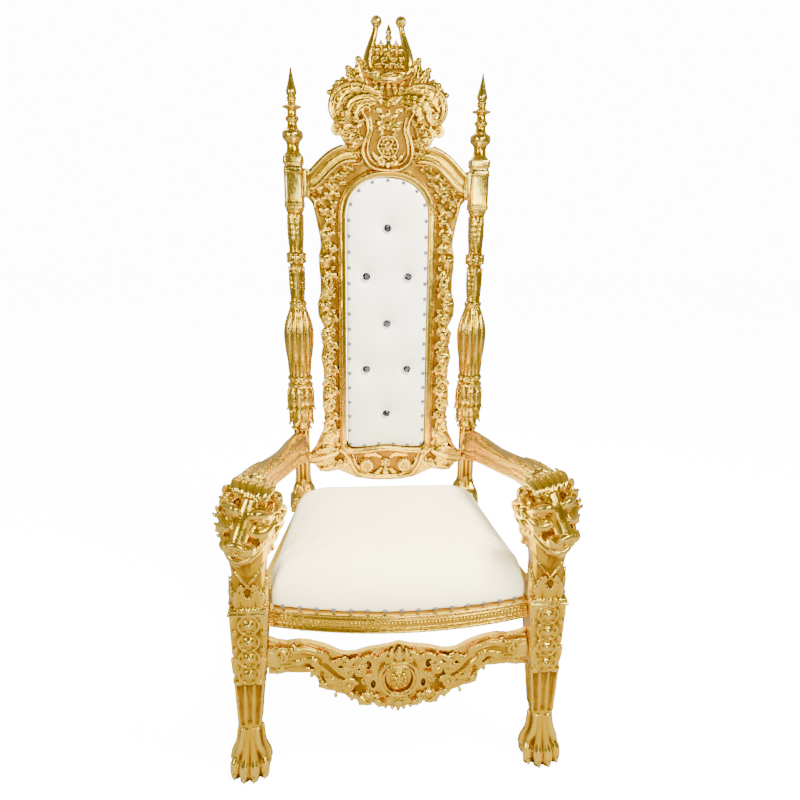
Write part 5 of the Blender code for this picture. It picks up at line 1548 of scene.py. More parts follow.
    def apron(self, carving: Carving, middle: Carving) -> None:
        """The apron below the opening: ribbed roses, a small flower and a curved border."""
        border = [(136, 634), (120, 622), (106, 604), (97, 582), (82, 560), (58, 549), (28, 545), (0, 545)]
        carving.rod(flat_path(border, 30), (7, 7.5, 8, 8, 8, 8, 8, 8), 1.1, sides=10)
        carving.rod(flat_path([(x * 0.90, up + 8) for x, up in border], 33), 2.6, sides=8)
        for c, s in around(14):
            carving.rod([(56 + 7 * c, 583 + 7 * s, 34), (56 + 15 * c, 583 + 15 * s, 37),
                         (56 + 23 * c, 583 + 23 * s, 30)], (2.2, 3.6, 4.0), sides=8)
        carving.ball((56, 583, 24), (22, 22, 10))
        carving.rose((56, 583, 35), 9)
        middle.rose((0, 590, 30), 15, petals=6)
        middle.leaf([(0, 576, 28), (0, 563, 32), (0, 547, 32)], 11, lobes=3, curl=3)
        carving.leaf([(10, 604, 26), (34, 616, 30), (70, 612, 28)], 9, lobes=4)
        carving.leaf([(10, 576, 26), (22, 562, 30), (34, 556, 28)], 8, lobes=3)
        carving.leaf([(86, 606, 26), (92, 590, 30), (84, 568, 28)], 8, lobes=3)


def joint_height(x: float) -> float:
    """Height of the scribed joint between the crest and the back frame at x."""
    top = LAYOUT.opening_spring + LAYOUT.opening_arch + 0.013
    share = min(max(abs(x) - 0.045, 0.0) / 0.080, 1.0)
    return top + 0.068 * (0.5 - 0.5 * math.cos(math.pi * share))


def post_face(z: float) -> float:
    """Greatest x of the back frame at height z, where it meets the right post."""
    half = float(np.interp(z, (0.78, 0.86), (0.0185, 0.0275)))
    return LAYOUT.post_axis(z)[0] - half - GAP


# Crest

@dataclass
class Crest:
    """The crest: a crown with horns over upright leaves, big volutes and a cartouche."""

    voxel: float = 0.0015
    budget: int = 140_000

    def build(self, gold: Material) -> None:
        """Makes the crest and hands it over."""
        foot = LAYOUT.opening_spring + LAYOUT.opening_arch + 0.014
        right = LAYOUT.back_sheet(foot, 0.004)
        carving = Carving(right, OTHER_SIDE @ right)
        middle = carving.within(right)
        self.boards(middle)
        self.cartouche(carving, middle)
        self.volutes(carving)
        self.leaves(carving)
        self.crown(carving, middle)
        cuts = (Cut(2, -1, joint_height),)
        show(carving.fused("crest_carved", self.voxel, self.budget, cuts), Slot.GOLD, gold, "crest")

    def boards(self, sheet: Carving) -> None:
        """The thin board behind everything and the thicker shield of the cartouche."""
        back = [(0, -14), (70, -4), (104, 40), (118, 74), (132, 100), (147, 152), (134, 194), (70, 206),
                (56, 226), (54, 282), (36, 296), (0, 300)]
        shield = [(0, 2), (34, 4), (58, 22), (66, 48), (60, 78), (52, 104), (58, 134), (64, 158), (30, 186),
                  (0, 192)]
        for outline, front in ((back, 14), (shield, 24)):
            sheet.plate(outline + [(-x, up) for x, up in reversed(outline[1:-1])], 0, front)

    def cartouche(self, carving: Carving, middle: Carving) -> None:
        """The lyre-shaped border with its rosette, mask of leaves and paired scrolls."""
        border = [(0, 4), (34, 7), (58, 24), (67, 50), (61, 80), (53, 104), (57, 130), (68, 150), (62, 163),
                  (49, 158), (49, 147)]
        carving.rod(flat_path(border, 27), (5, 5.5, 5.5, 5.5, 5.5, 5, 5, 5, 4.5, 4, 3), sides=10)
        inner = [(0, 16), (28, 18), (47, 32), (55, 52), (50, 80), (43, 104), (47, 132), (52, 140)]
        carving.rod(flat_path(inner, 28), 3.0, sides=8)
        middle.rod(spiral((0, 64), 90, (27, 27), 1.03, 29), 3.4, sides=10)
        middle.medallion((0, 64, 28), 20, petals=6)
        for c, s in around(10, 0.5):
            middle.ball((22.5 * c, 64 + 22.5 * s, 28), (3, 3, 3), detail=1)
        carving.scroll((17, 26), 12, 100, -1.2, 4.6, 29)
        carving.leaf([(8, 30, 27), (30, 34, 31), (44, 50, 29)], 8, lobes=4)
        middle.leaf([(0, 34, 27), (0, 22, 32), (0, 8, 30)], 9, lobes=3)
        middle.rose((0, 118, 28), 14, petals=6)
        for root, tip, width in (((8, 112), (40, 126), 9), ((8, 106), (36, 104), 8), ((6, 124), (26, 146), 9),
                                 ((8, 100), (24, 88), 7)):
            bend = ((root[0] + tip[0]) / 2, (root[1] + tip[1]) / 2 + 3, 32)
            carving.leaf([(*root, 27), bend, (*tip, 28)], width, lobes=4, curl=4)
        middle.leaf([(0, 126, 27), (0, 142, 32), (0, 158, 28)], 9, lobes=4)
        middle.rose((0, 177, 26), 15, petals=6)
        carving.leaf([(8, 170, 26), (20, 176, 31), (34, 190, 28)], 9, lobes=4, curl=4)
        carving.scroll((29, 152), 9, 200, -1.1, 3.6, 29)

    def volutes(self, carving: Carving) -> None:
        """The big rolled leaves at each side, with smaller curls and blossoms under them."""
        roll = [(24, 198, 22), (52, 207, 25), (84, 214, 26), (118, 208, 26), (143, 187, 26), (150, 158, 27),
                (140, 132, 28), (120, 127, 29), (107, 139, 30), (110, 154, 30), (122, 157, 29)]
        carving.rod(roll, (6, 8, 9.5, 10.5, 10.5, 10, 9.5, 9, 8, 7, 5), 0.9, sides=12, groove=0.45)
        carving.ball((121, 145, 30), (8.5, 8.5, 9))
        for root, bend, turn, tip, width, out in (((16, 192), (62, 199), (110, 192), (138, 152), 21, 27),
                                                  ((22, 182), (62, 184), (98, 170), (110, 138), 19, 29),
                                                  ((26, 176), (52, 170), (78, 156), (88, 128), 15, 27)):
            carving.leaf([(*root, out - 6), (*bend, out), (*turn, out + 2), (*tip, out)], width, lobes=7,
                         curl=4, thick=0.30)
        for bend, rim in (((70, 202), (66, 216)), ((98, 198), (98, 215)), ((122, 186), (130, 204)),
                          ((134, 166), (149, 178))):
            carving.rod([(*bend, 31), (*rim, 30)], (2.4, 3.4), steps=5)
        for tip in ((128, 216), (147, 200), (157, 176)):
            carving.leaf([(tip[0] - 24, tip[1] - 16, 18), (tip[0] - 10, tip[1] - 6, 22), (*tip, 20)], 11,
                         lobes=3, curl=5)
        carving.scroll((134, 104), 15, 80, -1.2, 6.5, 24)
        carving.scroll((112, 92), 14, 150, 1.1, 6, 24)
        carving.leaf([(98, 118, 22), (112, 110, 26), (124, 90, 22)], 11, lobes=4)
        carving.leaf([(92, 100, 22), (100, 84, 27), (116, 72, 22)], 11, lobes=4)
        carving.leaf([(116, 116, 20), (134, 120, 24), (150, 112, 20)], 9, lobes=4)
        carving.roses(((86, 112, 16), (78, 82, 15), (97, 62, 14), (82, 48, 13), (92, 34, 10), (72, 26, 10),
                       (98, 88, 11), (70, 128, 11)), 20)
        for root, tip in (((74, 100), (96, 128)), ((70, 66), (100, 84)), ((76, 40), (108, 52)),
                          ((70, 14), (96, 20)), ((74, 132), (96, 146)), ((80, 60), (112, 66))):
            bend = ((root[0] + tip[0]) / 2 + 3, (root[1] + tip[1]) / 2 - 2, 22)
            carving.leaf([(*root, 16), bend, (*tip, 18)], 10, lobes=4, curl=4)

    def leaves(self, carving: Carving) -> None:
        """The upright leaves behind the crown, whose rounded tips curl forward."""
        for root, bend, tip, width in (((36, 196), (50, 236), (60, 268), 18),
                                       ((46, 194), (68, 240), (80, 283), 21),
                                       ((62, 198), (90, 232), (107, 260), 21),
                                       ((84, 200), (116, 214), (134, 224), 18),
                                       ((110, 196), (136, 198), (155, 200), 13)):
            carving.leaf([(*root, 13), (*bend, 19), (*tip, 16)], width, lobes=5, curl=8, thick=0.40)
            carving.ball((tip[0] - 1, tip[1] - 4, 22), (9.5, 8.0, 7.0))
        for root, bend, tip in (((54, 200), (66, 228), (72, 252)), ((70, 204), (92, 232), (96, 252)),
                                ((92, 206), (116, 224), (124, 238)), ((110, 204), (138, 210), (148, 216)),
                                ((40, 214), (46, 240), (48, 266))):
            carving.leaf([(*root, 8), (*bend, 11), (*tip, 9)], 12, lobes=4, curl=4)
        for root, tip in (((52, 206), (64, 242)), ((76, 210), (98, 240)), ((100, 208), (124, 217))):
            carving.rod([(*root, 23), ((root[0] + tip[0]) / 2, (root[1] + tip[1]) / 2 + 2, 26), (*tip, 24)],
                        (3.5, 3.0, 1.4))

    def crown(self, carving: Carving, middle: Carving) -> None:
        """The crown: bow-shaped band, drops, horns with curled knobs, prongs and the faceted spire."""
        band = [(-57, 254), (-44, 243), (-22, 235), (0, 232), (22, 235), (44, 243), (57, 254)]
        middle.rod(flat_path(band, 27), (9, 12, 15, 16, 15, 12, 9), 0.85, sides=14)
        for offset, radius in ((9, 3.0), (0, 2.6), (-9, 3.0)):
            middle.rod([(x, up + offset * (1 - abs(x) / 150), 38 - abs(x) / 9) for x, up in band], radius,
                       sides=8)
        carving.scroll((54, 250), 12, 180, -1.2, 5.2, 27)
        carving.scroll((34, 240), 9, 20, 1.1, 3.6, 37)
        middle.rose((0, 243, 38), 12)
        for drop in range(5):
            x = (drop - 2) * 17.0
            middle.ball((x, 212 - abs(x) * 0.04, 22), (7.2, 12.5, 9))
            middle.ball((x, 198 - abs(x) * 0.04, 22), (3.8, 4.5, 5.5), detail=1)
        for index in range(9):
            x = (index - 4) * 10.0
            middle.ball((x, 224 - abs(x) * 0.03, 25), (4.2, 3.6, 4.4), detail=1)
        self.horns(carving)
        for x, top, half in ((31, 306, 6.0), (20, 318, 7.0), (10, 306, 5.5)):
            carving.rod([(x, 262, 14), (x, 288, 15), (x, top, 14)], (7.5, 6.0, 5.0), sides=6, steps=8)
            carving.block((x - half, top - 6, 8), (x + half, top + 1, 22), 1.2)
            carving.ball((x, top + 5, 14), (3.8, 6, 3.8))
            carving.block((x - half, 282, 8), (x + half, 286, 22), 1.2)
        carving.roses(((25, 268, 13), (40, 264, 9), (13, 282, 9), (36, 284, 8)), 22)
        middle.rose((0, 266, 24), 13)
        middle.rod([(0, 250, 16), (0, 296, 15), (0, 332, 14)], (10.5, 8.5, 7.4), sides=6, steps=12)
        middle.rod([(0, 330, 14), (0, 336, 14)], (10.5, 10.5), sides=6, steps=4)
        middle.rod([(0, 336, 14), (0, 347, 14), (0, 366, 14)], (6.5, 9.6, 1.4), sides=6, steps=7)
        middle.rod([(0, 292, 15), (0, 298, 15)], (11.5, 11.5), sides=6, steps=4)

    def horns(self, carving: Carving) -> None:
        """The segmented horns that lean in to their curled knobs."""
        line = [(51, 256, 18), (53, 276, 17), (49, 298, 15), (43, 320, 13), (37, 340, 12), (33, 358, 12)]
        carving.rod(line, (15, 14.5, 13, 10.5, 8.5, 8), sides=12)
        for index, spot in enumerate(spline(line, 11)[1:-1]):
            share = index / 8
            carving.ball((spot[0] + 4.5 - 3 * share, spot[1], spot[2] + 1),
                         (12.5 - 5.5 * share, 5.2, 12.0 - 4.5 * share))
        carving.ball((32, 371, 12), (15, 15, 12.5), detail=3)
        carving.scroll((32, 371), 11, -90, 1.1, 3.6, 22)


# Stretcher and rail

@dataclass
class Stretcher:
    """The carved apron between the front legs."""

    voxel: float = 0.0015
    budget: int = 100_000
    top: float = 0.361
    thickness: float = 0.030

    def build(self, gold: Material) -> None:
        """Makes the stretcher and hands it over."""
        rear = LAYOUT.leg_axis_y + self.thickness / 2
        right = Matrix(((MM, 0, 0, 0), (0, 0, -MM, rear), (0, MM, 0, self.top), (0, 0, 0, 1)))
        carving = Carving(right, OTHER_SIDE @ right)
        middle = carving.within(right)
        self.board(middle)
        self.ribbons(carving)
        self.leaves(carving)
        self.shield(carving, middle)
        cuts = (Cut(0, 1, self.leg_face), Cut(0, -1, lambda z: -self.leg_face(z)), Cut(1, 1, lambda z: rear))
        show(carving.fused("front_stretcher_carved", self.voxel, self.budget, cuts), Slot.GOLD, gold,
             "front_stretcher")

    def leg_face(self, z: float) -> float:
        """X of the right leg's face at height z, less the gap."""
        return LAYOUT.leg_inner_x(max(z, LAYOUT.block_bottom)) - GAP

    def board(self, sheet: Carving) -> None:
        """The board behind the relief, with deep hollows over a thin back."""
        edge = [(0, -30), (26, -37), (46, -40), (70, -43), (88, -48), (104, -53), (122, -53), (138, -50),
                (156, -40), (178, -29), (204, -20), (232, -15), (262, -18), (284, -14), (306, -4),
                (306, -100), (284, -102), (262, -98), (240, -100), (222, -100), (206, -100), (198, -112),
                (182, -132), (164, -150), (146, -160), (126, -166), (108, -172), (94, -186), (76, -195),
                (56, -194), (40, -197), (20, -205), (0, -209)]
        outline = edge + [(-x, up) for x, up in reversed(edge[1:-1])]
        holes = []
        for x, up, wide, tall in ((72, -88, 7, 12), (60, -140, 6, 11), (136, -112, 8, 5), (182, -84, 7, 4.5)):
            for side in (-1, 1):
                holes.append([(side * (x + wide * math.cos(way)), up + tall * math.sin(way))
                              for way in np.linspace(0, 2 * math.pi, 12, endpoint=False)])
        sheet.plate(outline, 0, 15, holes)
        sheet.plate(outline, 0, 3)

    def ribbons(self, carving: Carving) -> None:
        """The rolled S-shaped ribbons with lines along them."""
        main = [(308, -48), (280, -52), (250, -52), (222, -48), (196, -56), (170, -78), (146, -104),
                (122, -120)]
        carving.rod(flat_path(main, 14), (30, 27, 23, 20, 18, 16, 13, 10), 0.5, sides=16)
        for offset, width in ((19, 5.5), (10, 2.4), (-10, 2.4), (-19, 5.5)):
            line = []
            for index, (x, up) in enumerate(main):
                before, after = main[max(index - 1, 0)], main[min(index + 1, len(main) - 1)]
                length = math.hypot(after[0] - before[0], after[1] - before[1])
                shrink = offset * (1.15 - 0.09 * index)
                line.append((x + shrink * (after[1] - before[1]) / length,
                             up - shrink * (after[0] - before[0]) / length, 24 if abs(offset) < 15 else 21))
            carving.rod(line, (width, width, width, width * 0.9, width * 0.8, width * 0.7), sides=10)
        carving.scroll((274, -50), 15, 90, 1.1, 5, 26)
        carving.scroll((118, -136), 19, 170, -1.2, 7, 21)
        carving.scroll((94, -98), 18, 10, 1.15, 6.5, 22)
        carving.scroll((196, -92), 11, 40, -1.1, 4.5, 22)
        carving.scroll((148, -70), 11, 120, 1.1, 4.5, 22)

    def leaves(self, carving: Carving) -> None:
        """Acanthus leaves that grow along the ribbons."""
        carving.sprays((
                ((264, -60), (238, -66), (212, -58), 11), ((264, -40), (240, -34), (214, -36), 9),
                ((222, -52), (200, -66), (184, -92), 12), ((206, -40), (184, -44), (162, -56), 9),
                ((176, -96), (160, -118), (132, -124), 11), ((190, -108), (178, -130), (152, -146), 9),
                ((140, -78), (118, -72), (94, -58), 10), ((104, -78), (84, -66), (60, -52), 10),
                ((150, -92), (126, -90), (108, -82), 9), ((132, -150), (112, -162), (90, -170), 10),
                ((104, -160), (86, -180), (62, -190), 10), ((66, -168), (50, -184), (26, -198), 10),
                ((56, -78), (42, -62), (26, -46), 10), ((88, -118), (74, -112), (58, -110), 8),
                ((300, -24), (282, -30), (262, -26), 8), ((300, -82), (278, -82), (256, -86), 8)),
                (19, 26, 20), lobes=5, curl=4)
        carving.roses(((38, -64, 10), (58, -66, 9), (82, -84, 9), (128, -64, 8), (176, -66, 9),
                       (214, -88, 8), (236, -88, 8), (166, -128, 9), (136, -138, 9), (52, -172, 9),
                       (246, -26, 7), (60, -92, 9)), 21)
        carving.rose((74, -168, 20), 15)
        carving.rose((80, -128, 20), 11)
        carving.rose((116, -104, 22), 9)
        for x, up in ((206, -108), (186, -138), (150, -166), (112, -178), (92, -192)):
            carving.ball((x, up, 14), (5, 6.5, 6))

    def shield(self, carving: Carving, middle: Carving) -> None:
        """The oval shield with its rosette, framed by scrolls, under a leaf and over drops."""
        middle.ball((0, -122, 12), (41, 44, 15), detail=3)
        border = [(0, -78), (24, -80), (40, -96), (45, -120), (38, -146), (20, -163), (0, -168)]
        carving.rod(flat_path(border, 23), 5.6, sides=10)
        carving.rod(flat_path([(x * 0.80, -122 + (up + 122) * 0.80) for x, up in border], 27), 2.4, sides=8)
        middle.medallion((0, -122, 27), 19, petals=6)
        middle.leaf([(0, -78, 22), (0, -58, 29), (0, -32, 22)], 13, lobes=5, curl=4)
        carving.leaf([(6, -74, 20), (18, -58, 26), (16, -38, 20)], 9, lobes=4, curl=3)
        carving.scroll((26, -72), 9, 180, -1.1, 3.6, 24)
        middle.leaf([(0, -168, 20), (0, -186, 27), (0, -207, 20)], 13, lobes=4, curl=4)
        carving.scroll((22, -180), 10, 90, 1.1, 4, 22)
        for x, up in ((0, -212), (14, -208), (30, -204), (46, -200)):
            carving.ball((x, up, 14), (5, 6, 6))


@dataclass
class FrontRail:
    """The bowed front rail with a row of beads between fillets."""

    voxel: float = 0.0014
    budget: int = 45_000
    thickness: float = 0.030
    beads: int = 74

    def build(self, gold: Material) -> None:
        """Makes the rail and hands it over."""
        carving = Carving(Matrix.Diagonal((MM, MM, MM, 1.0)))
        top, low = LAYOUT.seat_rail_top / MM, (LAYOUT.seat_rail_top - LAYOUT.rail_height) / MM
        rings = []
        for share in np.linspace(-1, 1, 41):
            x = share * 300
            front = -LAYOUT.rail_bow(x * MM) / MM
            section = ((0, low), (0, top), (self.thickness / MM, top), (self.thickness / MM, low))
            ring = []
            for (y0, z0), (y1, z1) in zip(section, section[1:] + section[:1]):
                for part in (0.0, 0.5):
                    ring.append((x, front + y0 + (y1 - y0) * part, z0 + (z1 - z0) * part))
            rings.append(ring)
        carving.loft(np.array(rings))
        for up, out, radius in ((top - 4, 1.0, 3.6), (top - 13, 1.5, 2.2), (low + 15, 1.5, 2.2),
                                (low + 5, 1.0, 4.2)):
            carving.rod(self.line(up, out), radius, facing=(0, -1, 0), steps=60)
        row = low + 24.5
        for x, y, up in spline(self.line(row, 1.0), self.beads):
            carving.ball((x, y, up), (2.9, 3.4, 3.9))
        for sign in (-1, 1):
            wave = []
            for index, (x, y, up) in enumerate(spline(self.line(row, 1.6), 2 * self.beads)):
                wave.append((x, y, up + sign * 5.2 * math.cos(math.pi * index / 2 + math.pi / 4)))
            carving.rod(wave, 1.25, facing=(0, -1, 0), sides=6, steps=4 * len(wave))
        end = LAYOUT.leg_inner_x
        cuts = (Cut(0, 1, lambda z: end(z) - GAP), Cut(0, -1, lambda z: GAP - end(z)),
                Cut(2, 1, lambda x: top * MM), Cut(2, -1, lambda x: low * MM))
        show(carving.fused("front_rail_carved", self.voxel, self.budget, cuts), Slot.GOLD, gold, "front_rail")

    def line(self, up: float, out: float) -> list[Spot]:
        """Points along the rail's face at one height, so far in front of it, in millimetres."""
        return [(x, -LAYOUT.rail_bow(x * MM) / MM - out, up) for x in np.linspace(-302, 302, 25)]


# Arms

@dataclass
class Arms:
    """The two arms, which curve from the posts' stems out to the lions' manes.

    Each station is its share of the way forwards, outwards and upwards, then half its width and height.
    The section is drawn as (outwards, up) shares of those halves.
    """

    voxel: float = 0.0016
    budget: int = 36_000
    root_height: float = 642.0
    rest_height: float = 720.0
    root_x: float = 251.6
    front_x: float = 330.0
    stations: tuple[tuple[float, ...], ...] = (
        (0.0, 0.00, 0.02, 23.0, 46.0), (0.10, 0.06, 0.13, 23.5, 44.5), (0.24, 0.20, 0.30, 24.0, 36.0),
        (0.45, 0.37, 0.50, 26.5, 27.0), (0.66, 0.66, 0.68, 32.5, 23.5), (0.86, 0.90, 0.91, 36.5, 23.5),
        (1.02, 1.0, 1.0, 37.0, 24.5))
    section: tuple[Flat, ...] = (
        (-1.0, -0.75), (-0.80, -1.0), (0.55, -0.85), (0.95, -0.25), (1.0, 0.35), (0.80, 0.85), (0.1, 1.0),
        (-0.65, 0.80), (-0.90, 0.20), (-0.78, -0.20))

    def build(self, gold: Material) -> None:
        """Makes both arms and hands them over."""
        low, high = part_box("arm_right")
        self.front_y = low.y / MM
        self.rear_y = high.y / MM - LAYOUT.back_rake * 41.0
        carving = Carving(Matrix.Diagonal((MM, MM, MM, 1.0)))
        stations = spline(self.stations, 46)
        outline = spline(self.section + self.section[:1], 41)[:-1]
        carving.loft(np.array([[self.spot(station, a, b) for a, b in outline] for station in stations]))
        for a, b, radius in ((-0.94, -0.86, 4.2), (-0.84, -0.42, 3.0), (0.66, -0.84, 3.6), (0.97, 0.10, 2.6),
                             (-0.78, 0.56, 2.6)):
            line = [self.spot(station, a, b) for station in stations[::3]]
            carving.rod(line, radius, facing=(0, 0, 1), steps=60)
        self.acanthus(carving, stations)
        rake = LAYOUT.back_rake
        cuts = (Cut(1, -1, lambda z: self.front_y * MM),
                Cut(1, 1, lambda z: self.rear_y * MM + rake * (z - self.root_height * MM)))
        show_pair(carving.fused("arm_right_carved", self.voxel, self.budget, cuts), gold, "arm")

    def spot(self, station: Sequence[float], a: float, b: float) -> Spot:
        """A point on the arm's section at a station, in millimetres."""
        along, out, up, half, tall = station
        x = self.root_x + (self.front_x - self.root_x) * out
        y = self.rear_y + (self.front_y - self.rear_y) * along
        z = self.root_height + (self.rest_height - self.root_height) * up
        return x + half * a, y, z + tall * b

    def acanthus(self, carving: Carving, stations: np.ndarray) -> None:
        """Leaves that wrap the arm behind the mane and grow from its root."""
        shape = len(stations) - 1

        def along(first: float, last: float, a: float, b: float, lift: float) -> list[Spot]:
            """Points over the arm's surface from one share of its length to another."""
            line = []
            for share in np.linspace(first, last, 4):
                x, y, z = self.spot(stations[int(round(share * shape))], a, b)
                line.append((x + lift * a, y, z + lift * b))
            return line

        for last, a, b, width in ((0.64, 0.05, 0.98, 15), (0.70, 0.62, 0.90, 14), (0.70, -0.52, 0.84, 14),
                                  (0.74, 0.97, 0.20, 13), (0.74, -0.84, 0.10, 13)):
            carving.leaf(along(1.0, last, a, b, 0.5), width, lobes=5, curl=3, facing=(a, 0, b), thick=0.30)
        for first, a, b in ((0.90, 0.34, 0.96), (0.90, -0.26, 0.94), (0.84, 0.80, 0.60)):
            carving.leaf(along(first, first - 0.16, a, b, 2.5), 9, lobes=4, curl=3, facing=(a, 0, b))
        for last, a, b, width in ((0.36, -0.84, 0.15, 20), (0.30, -0.30, 0.90, 14), (0.30, 0.40, 0.92, 14),
                                  (0.36, 0.97, 0.20, 19)):
            carving.leaf(along(0.0, last, a, b, -0.5), width, lobes=6, curl=3, facing=(a, 0, b), thick=0.22)


# Upholstery

@dataclass(frozen=True)
class Puff:
    """A short run of cloth that puffs a cover up over its filling."""

    pressure: float = 4.0
    cap: float = 0.006
    frames: int = 20

    def run(self, item: Object, held: np.ndarray) -> None:
        """Lets the cover swell where it isn't held, and keeps the shape it takes.

        Args:
            item: The cover, remeshed evenly.
            held: For each point, whether it stays where it is.
        """
        before = points_of(item.data)
        group = item.vertex_groups.new(name="held")
        group.add(np.flatnonzero(held).tolist(), 1.0, "REPLACE")
        cloth = item.modifiers.new("Cover", "CLOTH")
        cloth.settings.vertex_group_mass = group.name
        cloth.settings.use_pressure = True
        cloth.settings.uniform_pressure_force = self.pressure
        cloth.settings.effector_weights.gravity = 0.0
        cloth.settings.tension_stiffness = 12.0
        cloth.settings.compression_stiffness = 12.0
        cloth.point_cache.frame_end = self.frames
        for number in range(1, self.frames + 1):
            bpy.context.scene.frame_set(number)
        after = points_of(evaluated(item))
        bpy.context.scene.frame_set(1)
        item.modifiers.clear()
        item.vertex_groups.clear()
        move = after - before
        reach = np.linalg.norm(move, axis=1, keepdims=True)
        move = move * (self.cap * np.tanh(reach / self.cap)) / np.maximum(reach, 1e-9)
        item.data.vertices.foreach_set("co", (before + move).astype(np.float32).ravel())
        item.data.update()


def cover(name: str, shape: bmesh.types.BMesh, voxel: float) -> Object:
    """An evenly remeshed cover made from a closed shape."""
    item = placed(name, as_mesh(shape, name))
    remeshed(item, voxel, 3)
    item.data = evaluated(item)
    item.data.name = name
    item.modifiers.clear()
    return item


def rounded(item: Object) -> None:
    """Subdivides a cover for good and shades it smooth."""
    finer = item.modifiers.new("Round", "SUBSURF")
    finer.levels = 1
    finer.render_levels = 1
    name = item.data.name
    item.data = evaluated(item)
    item.data.name = name
    item.modifiers.clear()
    item.data.shade_smooth()


@dataclass
class BackPad:
    """The tufted pad in the back's opening; the domes are pairs of inset and height above its edge."""

    voxel: float = 0.0068
    edge_y: float = 0.246
    rear_inset: float = 0.006
    domes: tuple[Flat, ...] = (
        (0.0008, 0.0015), (0.004, 0.0055), (0.009, 0.0062), (0.015, 0.0080), (0.028, 0.0105), (0.048, 0.0120),
        (0.078, 0.0128))
    button_spacing: float = 0.1305
    button_column: float = 0.058
    button_drop: float = 0.133
    button_hold: float = 0.0045
    dimple: float = 0.0105
    dimple_flat: float = 0.010
    dimple_spread: float = 0.020
    face_start: float = 0.003
    face_band: float = 0.004
    button_grip: float = 0.013
    rim_grip: float = 0.012
    swell: float = 0.0035
    nail_inset: float = 0.0085
    nail_sink: float = 0.0062
    nail_spacing: float = 0.0425

    def build(self, hide: Material) -> None:
        """Makes the pad and hands it over."""
        rings = []
        rear = LAYOUT.frame_rear - self.rear_inset
        for inset, y in [(self.domes[0][0], rear)] + [(inset, self.edge_y - dome)
                                                      for inset, dome in self.domes]:
            rings.append([(x, y + LAYOUT.back_rake * z, z) for x, z in LAYOUT.opening(-inset)])
        carving = Carving(Matrix.Identity(4))
        carving.loft(np.array(rings))
        item = cover("back_pad_cover", carving.shape, self.voxel)
        points = points_of(item.data)
        depth = points[:, 1] - LAYOUT.back_rake * points[:, 2]
        front = np.clip((self.edge_y - self.face_start - depth) / self.face_band, 0, 1)
        near = np.full(len(points), 1.0)
        for x, z in self.buttons():
            away = np.hypot(points[:, 0] - x, points[:, 2] - z)
            near = np.minimum(near, away)
            slope = np.exp(-np.maximum(away - self.dimple_flat, 0) / self.dimple_spread)
            points[:, 1] += front * self.dimple * slope
        item.data.vertices.foreach_set("co", points.astype(np.float32).ravel())
        edge = np.array(LAYOUT.opening(-0.0008, arch_points=40))
        rim = np.full(len(points), 1.0)
        for x, z in edge:
            rim = np.minimum(rim, np.hypot(points[:, 0] - x, points[:, 2] - z))
        Puff(cap=self.swell).run(item, (front < 0.5) | (near < self.button_grip) | (rim < self.rim_grip))
        rounded(item)
        show(item, Slot.BACK, hide, "back_pad")

    def buttons(self) -> list[Flat]:
        """(x, z) of the seven buttons from the top down, one and two in turn."""
        top = LAYOUT.opening_spring + LAYOUT.opening_arch - self.button_drop
        places = []
        for row in range(5):
            z = top - self.button_spacing * row
            places += [(-self.button_column, z), (self.button_column, z)] if row % 2 else [(0.0, z)]
        return places

    def seat_y(self, z: float) -> float:
        """Y of the hide behind a button at height z."""
        return self.edge_y + LAYOUT.back_rake * z - self.button_hold

    def nails(self) -> list[tuple[Vector, Vector]]:
        """Places and directions of the nails round the pad's edge."""
        line = [Vector((x, z)) for x, z in LAYOUT.opening(-self.nail_inset, arch_points=40)]
        line.append(line[0])
        total = sum((b - a).length for a, b in zip(line, line[1:]))
        count = round(total / self.nail_spacing)
        marks = [total * (index + 0.5) / count for index in range(count)]
        places = []
        gone = 0.0
        for start, end in zip(line, line[1:]):
            length = (end - start).length
            while marks and marks[0] <= gone + length:
                spot = start.lerp(end, (marks.pop(0) - gone) / max(length, 1e-9))
                y = self.edge_y + LAYOUT.back_rake * spot.y - self.nail_sink
                places.append((Vector((spot.x, y, spot.y)), Vector((0, -1, 0))))
            gone += length
        return places


